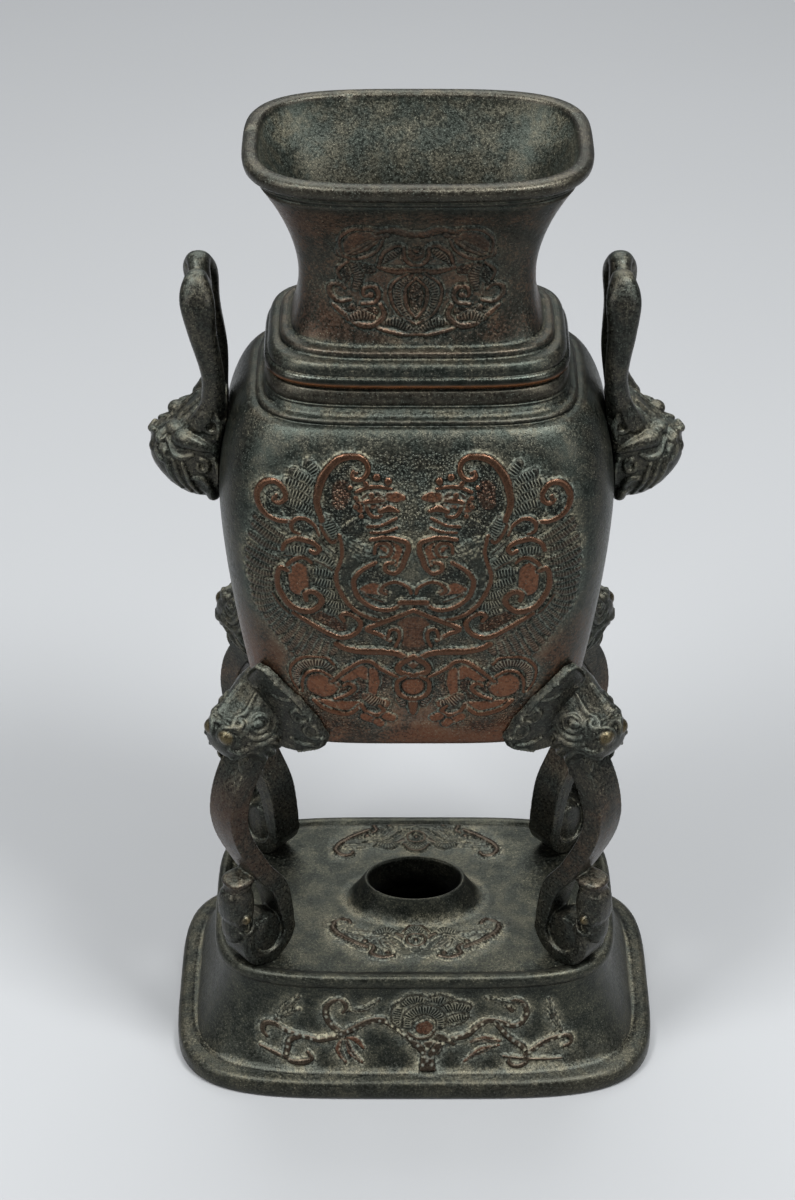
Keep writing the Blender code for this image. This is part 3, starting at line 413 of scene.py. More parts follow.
phoenixStrokes = (
    ("feather", (3.2, 3.6, 3.0), ((-27.6, 238.0), (-29.0, 241.0), (-30.8, 243.4))),
    ("feather", (2.6, 3.8, 3.2), ((-28.0, 235.8), (-31.5, 238.6), (-35.2, 240.6))),
    ("feather", (2.4, 3.6, 3.0), ((-28.6, 233.2), (-33.0, 236.2), (-37.4, 238.0))),
    ("feather", (2.4, 3.4, 2.8), ((-29.0, 230.8), (-33.5, 233.6), (-37.4, 235.0))),
    ("feather", (2.2, 3.0, 2.6), ((-29.5, 228.6), (-33.5, 230.8), (-37.0, 231.8))),
    ("stipple", 4.5, ((-41.5, 229.5), (-41.0, 233.5))),
    ("band", (1.6, 2.4, 1.7), ((-33.4, 224.4), (-36.6, 225.4), (-40.2, 225.5), (-43.5, 226.9),
        (-45.4, 229.3), (-46.0, 232.3), (-45.1, 235.0), (-43.3, 236.9), (-40.6, 237.4), (-38.7, 236.2),
        (-37.6, 233.9), (-38.2, 232.1), (-39.7, 231.2), (-41.1, 232.0), (-40.4, 233.2))),
    ("stipple", 3.4, ((-33.6, 223.6), (-31.0, 224.0))),
    ("roll", (1.5, 2.0, 1.4), ((-33.7, 221.5), (-35.6, 222.4), (-36.1, 224.2), (-34.9, 226.4),
        (-31.9, 226.7), (-29.0, 224.4), (-27.9, 221.5))),
    ("comb", (3.0, 4.2, 3.0), ((-26.0, 227.0), (-24.6, 223.6), (-23.2, 221.0))),
    ("roll", (1.2, 1.6, 1.8), ((-27.7, 226.4), (-27.1, 223.7), (-25.6, 220.6), (-24.0, 219.0),
        (-22.6, 220.0))),
    ("feather", (2.2, 3.4, 2.6), ((-22.6, 207.2), (-27.0, 208.2), (-30.6, 208.6))),
    ("feather", (2.2, 3.4, 2.6), ((-22.0, 203.6), (-26.0, 204.2), (-29.6, 205.4))),
    ("feather", (2.2, 3.4, 2.6), ((-20.9, 199.6), (-25.0, 200.0), (-28.4, 201.8))),
    ("feather", (2.2, 3.4, 2.4), ((-19.6, 196.2), (-23.6, 196.2), (-26.8, 197.9))),
    ("feather", (2.0, 3.0, 2.4), ((-18.0, 193.6), (-22.0, 193.0), (-26.0, 194.4))),
    ("feather", (3.0, 3.4, 2.8), ((-37.4, 215.6), (-33.2, 215.8), (-28.6, 213.8), (-24.6, 211.6),
        (-22.6, 209.6))),
    ("line", 0.9, ((-38.5, 213.4), (-33.2, 214.0), (-29.2, 212.4), (-25.4, 210.2), (-23.0, 208.0))),
    ("fill", 6.8, ((-34.6, 208.4), (-34.2, 202.4))),
    ("band", (1.6, 2.2, 1.6), ((-38.9, 215.6), (-37.9, 218.0), (-35.0, 219.8), (-31.7, 219.4),
        (-29.1, 218.3), (-27.9, 216.6), (-29.1, 215.2), (-30.5, 216.0))),
    ("roll", (1.6, 2.0, 1.5), ((-38.4, 208.0), (-37.2, 210.8), (-34.6, 213.0), (-32.1, 213.2),
        (-30.4, 211.6))),
    ("band", (1.8, 2.6, 2.0), ((-37.6, 208.3), (-39.7, 209.0), (-40.6, 205.3), (-40.4, 201.6),
        (-39.0, 198.4), (-37.2, 195.6), (-34.8, 194.0), (-31.5, 193.6), (-28.7, 195.5), (-27.5, 198.1),
        (-28.7, 200.3), (-30.7, 201.2), (-32.4, 200.0), (-32.1, 197.9))),
    ("line", 1.1, ((-42.3, 198.8), (-39.1, 193.8), (-33.7, 189.7), (-29.6, 186.4), (-25.0, 183.2),
        (-21.0, 182.6))),
    ("band", (1.7, 2.3, 1.7), ((-36.0, 192.6), (-31.6, 189.6), (-27.1, 186.4), (-22.9, 184.2),
        (-19.3, 184.6), (-16.6, 186.9), (-15.9, 189.6), (-17.4, 192.0), (-20.1, 193.4), (-21.9, 192.4),
        (-20.9, 190.5))),
    ("stipple", 9.0, ((-12.4, 207.4), (-12.0, 206.4))),
    ("fill", (3.0, 5.0, 3.0), ((-15.6, 201.4), (-12.2, 202.6), (-8.6, 201.0))),
    ("line", 0.9, ((-15.6, 201.0), (-12.2, 199.0), (-8.9, 197.6))),
    ("feather", (4.5, 5.5, 4.5), ((-20.2, 219.6), (-16.5, 216.6), (-12.6, 214.8))),
    ("flat", (4.0, 5.4, 5.2, 4.6, 3.4), ((-19.0, 219.6), (-18.4, 213.0), (-20.0, 207.0), (-19.6, 202.4),
        (-16.0, 197.0), (-11.0, 193.8), (-6.4, 193.6), (-3.0, 195.6))),
    ("band", (1.4, 1.7, 1.4), ((-21.9, 221.7), (-21.2, 216.2), (-21.8, 212.3), (-23.0, 208.3),
        (-23.0, 205.0), (-21.6, 200.8), (-19.2, 196.5), (-15.7, 193.1), (-10.4, 190.9), (-6.7, 191.3),
        (-2.6, 193.3))),
    ("hair", 0.7, ((-19.6, 220.4), (-15.8, 218.2), (-12.6, 216.8))),
    ("hair", 0.7, ((-19.2, 218.8), (-15.8, 216.4), (-12.8, 215.2))),
    ("hair", 0.7, ((-18.8, 217.0), (-15.8, 214.6), (-13.2, 213.6))),
    ("hair", 0.7, ((-18.2, 215.2), (-15.6, 213.2), (-13.6, 212.4))),
    ("band", (1.7, 2.0, 1.7), ((-11.4, 212.2), (-15.4, 209.5), (-17.5, 206.6), (-17.9, 204.3),
        (-16.9, 200.3), (-14.9, 197.8), (-12.2, 195.7), (-8.7, 194.7), (-5.6, 195.4), (-3.4, 197.7))),
    ("stipple", (3.0, 6.0, 3.4), ((-20.0, 223.2), (-16.9, 224.2), (-13.5, 224.3))),
    ("roll", 1.5, ((-13.6, 224.6), (-9.8, 225.0), (-7.4, 226.2), (-5.2, 227.4))),
    ("roll", 1.5, ((-12.6, 222.6), (-8.3, 222.9), (-5.0, 224.2))),
    ("fill", (4.0, 6.0, 4.0), ((-9.0, 218.4), (-5.6, 216.0), (-4.6, 212.0))),
    ("band", (1.7, 2.2, 1.6), ((-12.8, 220.3), (-8.0, 221.0), (-4.2, 220.2), (-1.9, 218.9),
        (-1.7, 216.2), (-2.7, 213.1), (-3.6, 210.3), (-5.7, 208.3), (-8.3, 209.4), (-8.3, 211.6),
        (-6.3, 212.2))),
    ("roll", (1.5, 1.7, 1.2), ((-11.6, 215.4), (-11.2, 218.2), (-8.4, 219.0), (-6.6, 216.9),
        (-7.7, 214.3), (-9.9, 214.2))),
    ("roll", (1.6, 1.8, 1.4), ((-0.8, 200.9), (-1.4, 202.9), (-3.8, 204.6), (-6.1, 205.1),
        (-8.7, 203.9), (-9.7, 201.8), (-8.2, 200.6))),
    ("band", (2.2, 2.2), ((-3.9, 197.6), (2.5, 197.6))),
    ("band", (1.8, 2.2, 1.8), ((1.0, 195.2), (-5.4, 191.9), (-10.4, 189.5), (-14.0, 187.4),
        (-10.4, 185.4), (-7.1, 183.1))),
    ("roll", (1.6, 1.6), ((-7.6, 184.6), (-6.9, 187.0), (-4.7, 186.8), (-4.3, 183.8), (-5.4, 180.6))),
    ("band", (2.4, 2.8, 2.2), ((-23.2, 181.4), (-20.3, 179.6), (-15.6, 178.6), (-10.4, 178.5),
        (-5.4, 177.9), (-2.3, 176.0), (-0.2, 173.2), (2.0, 171.4))),
    ("band", (2.2, 2.4), ((3.0, 177.6), (-0.4, 176.4), (-4.3, 173.0), (-3.9, 170.3), (1.5, 168.4))),
    ("comb", (3.0, 4.4, 3.2), ((-35.8, 164.0), (-35.8, 170.0), (-32.0, 173.6), (-27.6, 173.6),
        (-24.8, 171.4))),
    ("roll", (1.1, 1.4, 1.1), ((-34.9, 160.9), (-37.2, 165.8), (-37.4, 170.8), (-34.0, 175.1),
        (-29.8, 176.0), (-26.4, 175.7), (-24.2, 173.2))),
    ("fill", 9.6, ((-28.5, 164.4), (-27.7, 164.0))),
    ("roll", (1.2, 1.5, 1.2), ((-34.0, 161.0), (-33.8, 166.2), (-31.8, 169.6), (-28.4, 170.3),
        (-25.0, 168.0), (-22.7, 164.7))),
    ("fill", (5.0, 6.0, 4.0), ((-20.6, 168.2), (-17.0, 170.6), (-14.4, 168.8))),
    ("fill", (3.0, 3.8, 2.6), ((-12.2, 170.6), (-12.0, 166.0), (-12.6, 161.0))),
    ("roll", (1.6, 2.0, 1.5), ((-24.9, 166.2), (-20.7, 170.7), (-16.3, 174.3), (-13.0, 174.5),
        (-10.5, 172.1), (-7.1, 169.6), (-3.6, 167.8))),
    ("fill", (3.0, 5.4, 3.0), ((-29.0, 157.2), (-23.0, 155.8), (-17.0, 156.6))),
    ("band", (1.6, 2.2, 1.6), ((-30.6, 158.2), (-27.6, 155.0), (-22.7, 153.1), (-19.2, 153.3),
        (-16.1, 156.5))),
    ("roll", (1.4, 1.9, 1.4), ((-24.2, 158.9), (-20.6, 160.6), (-18.0, 163.4), (-19.6, 165.6),
        (-21.4, 164.4))),
    ("feather", (3.4, 4.4, 3.4), ((-14.4, 160.0), (-11.2, 157.6), (-8.6, 157.0))),
    ("roll", (1.5, 2.0, 1.5), ((-16.0, 157.0), (-14.6, 154.0), (-11.4, 152.4), (-9.0, 154.2),
        (-10.4, 156.4))),
    ("fill", (3.4, 3.0), ((-14.8, 151.6), (-12.6, 150.2))),
    ("fill", (3.4, 3.0), ((-10.9, 149.4), (-10.2, 148.6))),
    ("fill", (3.4, 3.0), ((-8.2, 151.8), (-6.6, 151.0))),
    ("feather", (2.2, 3.0, 2.0), ((-4.4, 160.6), (-3.6, 158.4), (-3.0, 156.6))),
    ("band", (2.6, 2.2), ((-0.4, 159.0), (-0.2, 154.8), (0.2, 153.4))),
    ("band", (1.5, 1.9, 1.5), ((4.2, 159.6), (-1.6, 159.8), (-4.6, 162.2), (-4.8, 166.4), (-2.4, 168.6))),
    ("fill", 7.4, ((0.0, 164.4), (0.4, 164.4))),
)
phoenixHead = (
    ("fill", (5.0, 6.5, 5.0), ((-15.4, 231.2), (-12.0, 233.2), (-8.4, 231.8))),
    ("roll", (1.5, 1.8, 1.5), ((-14.2, 232.6), (-13.5, 229.6), (-11.8, 227.8), (-9.6, 228.4),
        (-10.4, 230.4))),
    ("band", (1.6, 2.2, 1.8, 1.2), ((-14.4, 232.6), (-10.2, 233.4), (-6.6, 233.8), (-3.0, 233.4))),
    ("fill", (3.0, 4.0, 2.2), ((-7.2, 234.2), (-5.0, 234.0), (-3.2, 233.8))),
    ("band", (1.4, 2.6, 1.4), ((-10.2, 229.6), (-7.3, 230.5), (-4.5, 229.8))),
    ("line", 1.0, ((-15.2, 233.9), (-13.2, 235.3), (-10.6, 234.9), (-8.8, 234.2))),
    ("roll", (1.6, 1.9, 1.4), ((-17.0, 235.6), (-13.5, 237.1), (-9.6, 237.2), (-6.6, 236.6))),
    ("band", (2.0, 3.0, 2.2, 1.5), ((-27.1, 226.6), (-28.4, 231.9), (-27.9, 235.8), (-27.0, 239.2),
        (-25.3, 241.9), (-22.9, 244.3), (-20.0, 245.5), (-16.4, 245.6), (-14.1, 244.4), (-13.4, 242.1),
        (-14.5, 240.0), (-16.4, 239.2), (-18.1, 240.0), (-17.7, 241.6))),
)
phoenixBeads = ((-10.9, 240.0), (-7.5, 238.9), (-14.1, 238.2), (-18.7, 236.9), (-17.0, 233.8), (-17.2, 231.0),
                (-15.5, 228.0), (-12.4, 234.7))


wingFringe = {
    "roots": ((-37.6, 219.4), (-40.2, 212.0), (-41.8, 206.0), (-42.4, 200.0), (-41.0, 195.3), (-38.0, 193.0),
              (-33.0, 189.6), (-28.0, 186.0), (-23.5, 182.6)),
    "tips": ((-46.8, 224.8), (-48.8, 216.0), (-49.3, 208.6), (-48.8, 201.5), (-47.8, 195.0), (-44.6, 188.6),
             (-41.6, 184.4), (-37.4, 178.0), (-31.6, 175.8), (-24.6, 177.6)),
}


def drawRoundel():
    sheet = blankSheet(roundel["low"], roundel["high"])
    for style, widths, points in phoenixGround:
        layStroke(sheet, style, widths, points)
    layFeathers(sheet, "plume", wingFringe["roots"], wingFringe["tips"], 24, (1.6, 3.4, 2.4))
    for style, widths, points in phoenixStrokes + phoenixHead:
        layStroke(sheet, style, widths, points)
    layDots(sheet, 1.35, 0.8, phoenixBeads[:2])
    layDots(sheet, 1.0, 0.7, phoenixBeads[2:])
    layDots(sheet, 0.8, 0.5, ((-16.8, 241.2), (-40.6, 232.6)))
    layHalo(sheet, 1.4)
    # the ground between the strokes is finely stippled
    middle = smoothLine(((-12, 232), (-30, 220), (-30, 195), (-20, 180), (-20, 160)))
    blank = (sheet["relief"] < 0.13) & (distances(sheet, middle, 20)[0] < 15)
    sheet["stipple"][blank] = 1
    return sheet


# the neck's medallion: an oval bud under a flower, with leaves and scrolls

medallion = {"centre": -0.4, "low": (-28.0, 274.0), "high": (28.0, 316.0)}
medallionStrokes = (
    ("stipple", (3, 5, 3), ((-22, 292), (-19, 297), (-13, 297))),
    ("stipple", (3, 5, 3), ((-20.5, 283), (-16.4, 282), (-12.4, 283))),
    ("fill", (5.0, 8.5, 6.0), ((-20.8, 303.4), (-16.0, 307.6), (-11.4, 310.2))),
    ("roll", (1.1, 1.4, 1.1), ((-21.4, 303.0), (-21.8, 308.6), (-18.7, 312.6), (-15.0, 313.3),
        (-10.6, 312.7))),
    ("line", 1.1, ((-20.2, 302.6), (-16.8, 305.0), (-13.4, 307.8))),
    ("roll", (1.1, 1.5, 1.2), ((-21.2, 302.4), (-18.0, 301.1), (-14.0, 302.2), (-10.9, 305.0),
        (-9.6, 308.6))),
    ("fill", (1.6, 3.0, 2.2), ((-11.6, 311.6), (-6.5, 312.6), (-2.6, 311.0), (1.0, 310.8))),
    ("feather", (3.0, 4.0, 2.0), ((-9.6, 300.6), (-6.4, 303.6), (-3.8, 305.6))),
    ("roll", (1.2, 1.6, 1.2), ((-10.8, 298.6), (-9.4, 303.4), (-5.6, 306.6), (-3.4, 305.0),
        (-4.4, 301.4))),
    ("low", 6.0, ((0, 303.4), (0, 302.0))),
    ("roll", (1.2, 1.6, 1.2), ((-3.6, 305.8), (-3.4, 301.6), (-1.4, 299.0), (1.4, 299.0))),
    ("band", (1.4, 2.6, 2.2), ((-11.0, 298.2), (-5.7, 296.7), (1.0, 297.2))),
    ("comb", (3.4, 4.2, 3.4), ((-2.0, 294.6), (-5.2, 290.6), (-5.2, 286.0), (-2.4, 281.4))),
    ("roll", (1.0, 1.3, 1.0), ((-2.6, 296.0), (-6.9, 292.0), (-7.2, 287.0), (-4.8, 282.2),
        (-0.2, 279.2))),
    ("stipple", (2.0, 4.6, 2.0), ((0, 293.6), (0, 288.0), (0, 282.6))),
    ("roll", (1.0, 1.5, 1.0), ((0.2, 294.6), (-2.8, 291.0), (-3.2, 287.6), (-2.2, 283.8), (0.2, 280.8))),
    ("comb", (2.0, 3.4, 2.0), ((-9.6, 279.8), (-5.0, 279.6), (-0.6, 277.0))),
    ("roll", (1.2, 1.6, 1.2), ((-13.6, 279.4), (-10.0, 277.6), (-6.2, 276.6), (-2.7, 276.0),
        (1.0, 276.4))),
    ("band", (1.5, 2.2, 1.5), ((-10.4, 285.4), (-9.3, 281.9), (-12.6, 278.9), (-16.4, 279.0),
        (-20.4, 281.6), (-24.0, 284.8))),
    ("comb", (2.0, 3.2, 2.0), ((-19.6, 280.6), (-16.0, 281.8), (-12.6, 281.2))),
    ("roll", (1.3, 1.8, 1.2), ((-15.6, 285.4), (-12.2, 285.9), (-10.8, 288.4), (-12.2, 291.0),
        (-14.9, 290.6), (-15.2, 288.2), (-13.4, 287.8))),
    ("roll", (1.2, 1.9, 1.3), ((-19.0, 286.6), (-22.4, 286.0), (-24.9, 288.0), (-24.9, 290.8),
        (-22.4, 291.8), (-20.6, 290.2))),
    ("roll", (1.0, 1.5, 1.0), ((-19.6, 300.0), (-22.6, 296.6), (-21.6, 293.4))),
    ("feather", (2.2, 3.4, 2.2), ((-18.2, 298.6), (-16.6, 294.8), (-17.4, 290.8))),
)


def drawMedallion():
    sheet = blankSheet(medallion["low"], (6.0, medallion["high"][1]))
    for style, widths, points in medallionStrokes:
        layStroke(sheet, style, widths, points)
    layDots(sheet, 1.0, 0.5, ((0, 304.4), (-8.4, 310.6), (-18.6, 284.4), (-13.2, 288.2)))
    layHalo(sheet, 1.2, 0.4)
    return sheet


# the stand's carving: a flowering prunus bough, and a spray before and behind the hole

boughStrokes = (
    ("low", (2.0, 5.0, 3.0), ((-46.0, 26.0), (-43.0, 30.0), (-39.0, 34.8))),
    ("leaf", (1.4, 2.8, 1.0), ((-46.6, 25.0), (-42.1, 30.5), (-38.6, 35.2))),
    ("leaf", (1.4, 2.4, 1.0), ((-46.2, 25.2), (-42.4, 28.0), (-38.6, 29.8))),
    ("branch", (1.2, 1.8, 1.0), ((-52.0, 15.2), (-47.0, 13.4), (-41.3, 11.3))),
    ("branch", (1.6, 2.6, 1.4), ((-43.4, 12.6), (-41.4, 11.0), (-37.6, 10.9), (-34.6, 12.2),
        (-35.9, 14.4))),
    ("branch", (1.6, 2.6, 1.6), ((-43.6, 21.2), (-46.9, 23.4), (-50.2, 23.0), (-51.0, 20.4),
        (-49.6, 18.6))),
    ("branch", (2.6, 2.2, 2.0), ((-23.4, 20.6), (-28.1, 19.4), (-31.8, 18.5), (-36.0, 19.4),
        (-40.5, 20.4), (-44.0, 21.8))),
    ("branch", (2.2, 2.4, 2.0), ((-38.6, 19.6), (-42.0, 18.0), (-42.6, 15.0), (-43.4, 12.4))),
    ("branch", (2.6, 2.4, 1.6), ((-24.6, 21.4), (-28.1, 24.2), (-29.7, 27.7), (-29.5, 31.3),
        (-27.3, 33.9), (-24.6, 34.2), (-22.8, 31.5), (-24.0, 29.2))),
    ("leaf", (1.4, 2.4, 1.0), ((-22.0, 29.8), (-16.6, 30.6), (-12.0, 34.5))),
    ("branch", (3.4, 2.8, 2.6), ((0.4, 17.0), (-2.2, 20.0), (-6.2, 23.6), (-11.3, 26.2), (-16.0, 25.4),
        (-20.7, 22.8), (-24.4, 20.8))),
    ("low", (14, 16), ((-3, 29), (9, 29))),
    ("fill", (1.0, 2.6, 1.0), ((-24.0, 19.6), (-25.6, 15.4), (-23.1, 11.1))),
    ("fill", (1.0, 2.6, 1.0), ((-23.2, 19.4), (-21.4, 14.6), (-17.7, 11.1))),
    ("fill", (1.0, 2.2, 1.0), ((-22.8, 19.6), (-19.6, 18.6), (-17.2, 15.8))),
    ("branch", (2.6, 2.4, 2.0), ((7.1, 14.4), (9.4, 17.9), (13.5, 19.4), (17.4, 20.5), (21.2, 23.9),
        (24.8, 26.0), (29.2, 25.1), (32.6, 23.7), (35.6, 24.7), (37.4, 28.1), (36.4, 32.2),
        (33.4, 34.1), (31.2, 31.9), (32.4, 29.6))),
    ("branch", (2.2, 2.4, 1.4), ((27.4, 24.6), (30.3, 20.8), (33.0, 18.2), (35.8, 16.4), (37.6, 13.8),
        (37.2, 10.9), (34.4, 9.7), (31.6, 10.8), (32.4, 12.9))),
    ("branch", (2.0, 2.2, 1.6), ((37.0, 13.4), (40.4, 15.5), (44.0, 17.6), (48.2, 18.6), (51.7, 18.4),
        (52.4, 16.0), (50.1, 15.1))),
    ("leaf", (1.2, 2.6, 1.0), ((49.2, 20.4), (46.3, 26.3), (44.8, 33.4))),
    ("leaf", (1.0, 2.0, 1.0), ((36.0, 32.0), (29.8, 33.4), (23.6, 35.2))),
    ("branch", (1.0, 1.4, 0.8), ((29.6, 13.1), (38.8, 11.9), (49.6, 11.3))),
    ("fill", (1.0, 2.8, 1.0), ((28.6, 18.2), (23.2, 18.9), (18.6, 17.9))),
    ("fill", (1.0, 2.6, 1.0), ((28.2, 16.8), (21.9, 14.8), (16.6, 11.5))),
    ("branch", (6.4, 5.0, 5.6), ((4.3, 8.6), (4.2, 12.4), (4.8, 16.2))),
    ("branch", (3.0, 2.6), ((3.2, 14.6), (0.4, 17.4), (-2.2, 20.4))),
    ("branch", (3.0, 2.6), ((5.6, 14.2), (7.4, 16.6), (9.4, 18.4))),
    ("leaf", (2.0, 3.4, 1.6), ((3.8, 20.6), (8.8, 19.7), (13.2, 17.3))),
    ("comb", (2.4, 4.6, 3.0), ((-4.0, 22.6), (-6.2, 26.6), (-5.6, 31.2))),
    ("line", 0.8, ((-3.4, 21.6), (-7.2, 24.6), (-8.0, 29.0), (-6.6, 32.8), (-3.8, 34.4))),
    ("comb", (2.4, 4.4, 2.6), ((-3.8, 32.6), (-0.6, 35.0), (2.8, 34.6))),
    ("line", 0.8, ((-4.6, 34.2), (-1.8, 36.8), (1.4, 36.9), (3.8, 35.6), (3.9, 33.6))),
    ("comb", (2.4, 4.4, 2.4), ((4.8, 34.6), (8.0, 34.8), (11.6, 33.2))),
    ("line", 0.8, ((4.2, 35.8), (7.6, 36.8), (11.4, 36.0), (13.8, 33.8))),
    ("comb", (2.6, 4.8, 3.2), ((9.2, 30.2), (13.4, 32.0), (17.4, 30.6))),
    ("line", 0.8, ((7.8, 31.6), (12.4, 34.0), (17.6, 33.4), (18.8, 30.8), (15.0, 28.8), (11.0, 28.2))),
    ("comb", (2.4, 4.0, 2.4), ((10.4, 25.6), (13.6, 27.4), (17.0, 27.8))),
    ("line", 0.8, ((9.6, 27.2), (13.6, 28.9), (17.8, 28.9), (17.2, 26.0), (12.4, 23.6))),
    ("comb", (3.0, 4.0, 4.0, 3.0), ((-2.6, 23.6), (-2.2, 27.6), (1.0, 30.2), (5.4, 30.2), (8.4, 27.2),
        (8.6, 23.8))),
    ("line", 0.7, ((-4.2, 23.4), (-3.8, 28.4), (-0.4, 32.0), (3.4, 32.7), (7.4, 31.6), (10.4, 28.0),
        (10.2, 23.8))),
    ("line", 0.7, ((-1.0, 22.8), (-0.4, 26.4), (2.0, 28.2), (4.8, 28.0), (6.9, 26.0), (7.2, 22.8))),
    ("fill", (4.8, 5.8), ((2.4, 23.0), (3.8, 23.2))),
    ("roll", (1.0, 1.4, 1.0), ((-2.4, 21.6), (0.8, 19.4), (4.8, 19.8), (6.8, 22.2))),
    ("hair", 0.6, ((-45.6, 26.2), (-42.0, 30.8), (-39.4, 34.2))),
    ("hair", 0.6, ((-45.0, 26.0), (-42.2, 28.2), (-39.6, 29.5))),
    ("hair", 0.6, ((-20.8, 30.2), (-16.6, 30.9), (-13.0, 33.6))),
    ("hair", 0.6, ((48.6, 21.6), (46.2, 26.4), (45.0, 32.2))),
    ("hair", 0.6, ((34.8, 32.4), (29.8, 33.5), (25.0, 34.8))),
    ("hair", 0.6, ((-24.2, 18.6), (-24.8, 15.2), (-23.4, 12.4))),
    ("hair", 0.6, ((-23.0, 18.4), (-21.2, 14.8), (-18.6, 12.0))),
    ("hair", 0.6, ((27.0, 18.2), (23.2, 18.6), (20.0, 18.0))),
    ("hair", 0.6, ((27.0, 16.4), (22.4, 14.6), (18.2, 12.4))),
)
boughDots = {  # each run: first point, last point and how many little bosses lie between
    "size": 0.5, "high": 0.35,
    "runs": (((-1.6, 19.4), (-9.5, 25.6), 5), ((-11.8, 26.3), (-22.4, 22.0), 6),
             ((-24.6, 21.0), (-34.8, 19.0), 5), ((-37.4, 19.8), (-44.2, 21.9), 4),
             ((-42.3, 18.0), (-43.0, 13.6), 3), ((-26.2, 22.4), (-29.6, 27.7), 3),
             ((-29.7, 29.6), (-25.2, 34.1), 3), ((9.4, 17.8), (20.4, 23.2), 6),
             ((22.6, 25.0), (31.0, 24.5), 5), ((34.2, 24.2), (37.3, 28.6), 3),
             ((29.4, 22.2), (36.8, 15.2), 5), ((38.6, 14.2), (48.4, 18.6), 5),
             ((2.6, 10.4), (4.0, 15.8), 3), ((5.8, 10.6), (6.4, 15.4), 3), ((4.2, 12.0), (1.0, 17.0), 3)),
}
sprayStrokes = (
    ("low", (6.0, 12.0, 12.0), ((-21.0, -21.0), (-12.0, -24.4), (2.0, -25.0))),
    ("leaf", (1.4, 2.4, 1.6), ((-24.6, -17.4), (-19.6, -17.9), (-14.4, -18.8))),
    ("leaf", (1.4, 2.4, 1.6), ((-25.0, -19.2), (-20.6, -20.3), (-15.7, -21.8))),
    ("stipple", (1.6, 3.0, 2.4), ((-24.4, -22.0), (-20.6, -24.6), (-17.0, -26.6))),
    ("band", (1.8, 2.6, 2.0), ((-22.2, -14.2), (-23.4, -12.4), (-26.3, -12.8), (-28.2, -15.4),
        (-27.2, -18.4), (-24.4, -21.2), (-20.4, -24.0), (-16.6, -26.2))),
    ("comb", (2.4, 3.4, 2.2), ((-13.4, -18.8), (-9.6, -17.6), (-6.2, -19.8))),
    ("roll", (1.6, 2.4, 1.8), ((-15.6, -24.6), (-14.0, -26.4), (-15.0, -29.2), (-11.4, -31.2),
        (-7.6, -30.4))),
    ("leaf", (2.0, 3.4, 2.0), ((-11.4, -21.2), (-8.6, -24.6), (-5.2, -27.8))),
    ("leaf", (2.0, 3.6, 2.0), ((-6.4, -19.6), (-3.4, -21.6), (-2.4, -24.6))),
    ("comb", (3.0, 3.8, 2.6), ((-3.4, -18.4), (-0.6, -16.4), (2.6, -16.2))),
    ("roll", (1.0, 1.4, 1.0), ((-4.6, -18.8), (-2.0, -15.6), (2.0, -15.0), (5.0, -16.4))),
    ("flat", (2.4, 3.8, 2.4), ((-5.8, -28.0), (-3.4, -28.9), (-0.8, -28.8))),
    ("flat", (2.6, 3.6, 2.6), ((-0.4, -27.4), (1.0, -27.0), (2.6, -27.4))),
    ("roll", (0.9, 1.3, 0.9), ((0.4, -19.4), (-2.6, -20.6), (-3.0, -23.6), (-0.8, -25.6), (1.6, -25.4))),
    ("flat", 3.6, ((0.2, -22.6), (0.6, -22.6))),
    ("hair", 0.7, ((-23.6, -17.6), (-19.6, -17.9), (-15.4, -18.6))),
    ("hair", 0.7, ((-24.0, -19.4), (-20.6, -20.3), (-16.6, -21.5))),
    ("hair", 0.7, ((-10.8, -21.8), (-8.6, -24.6), (-5.8, -27.2))),
    ("line", 0.8, ((-12.6, -22.6), (-11.4, -25.8), (-8.4, -27.6))),
    ("line", 0.8, ((-16.6, -21.4), (-13.0, -21.0), (-9.6, -20.2))),
)


def drawBough():
    sheet = blankSheet((-54.0, 7.5), (55.0, 40.0))
    for style, widths, points in boughStrokes:
        layStroke(sheet, style, widths, points)
    for first, last, count in boughDots["runs"]:
        for share in np.linspace(0, 1, count):
            x, z = np.array(first) * (1 - share) + np.array(last) * share
            gap = np.hypot(sheet["x"] - x, sheet["z"] - z) / boughDots["size"]
            inside = gap < 1
            sheet["relief"][inside] += boughDots["high"] * np.sqrt(1 - gap[inside] ** 2)
            sheet["pale"][inside] = 1
    layHalo(sheet, 1.6)
    return sheet


def drawSpray():
    sheet = blankSheet((-31.0, -35.0), (6.0, -9.0))
    for style, widths, points in sprayStrokes:
        layStroke(sheet, style, widths, points)
    layDots(sheet, 1.2, 0.7, ((0.4, -22.6), (-17.2, -23.2), (-9.4, -29.0)))
    layHalo(sheet, 2.6)
    return sheet


print("strokes of the relief ready")

# walls of the vessel and the stand, from their profiles


def power(value, exponent):
    return np.sign(value) * np.abs(value) ** exponent


def planTurns(squareness, front, back, side, reach=0.88):
    # angles round a rounded oblong: even steps along each of its four walls
    corner = reach ** (squareness / 2)
    sideReach = (1 - corner**2) ** (1 / squareness)
    along = power(np.linspace(-reach, reach, front + 1), squareness / 2)
    behind = power(np.linspace(reach, -reach, back + 1), squareness / 2)
    up = power(np.linspace(-sideReach, sideReach, side + 1), squareness / 2)
    parts = (-np.arccos(along), np.arcsin(up), np.arccos(behind), np.pi + np.arcsin(up))
    return np.concatenate([part[:-1] for part in parts] + [[-np.arccos(along[0]) + 2 * np.pi]])


def planGrid(rows, turns):
    # rows of height, half width, half depth and squareness
    rows = np.array(rows, float)
    z, half, depth, squareness = (rows[:, k][:, None] for k in range(4))
    x = half * power(np.cos(turns)[None, :], 2 / squareness)
    y = depth * power(np.sin(turns)[None, :], 2 / squareness)
    return np.stack([x, y, np.broadcast_to(z, x.shape)], 2)


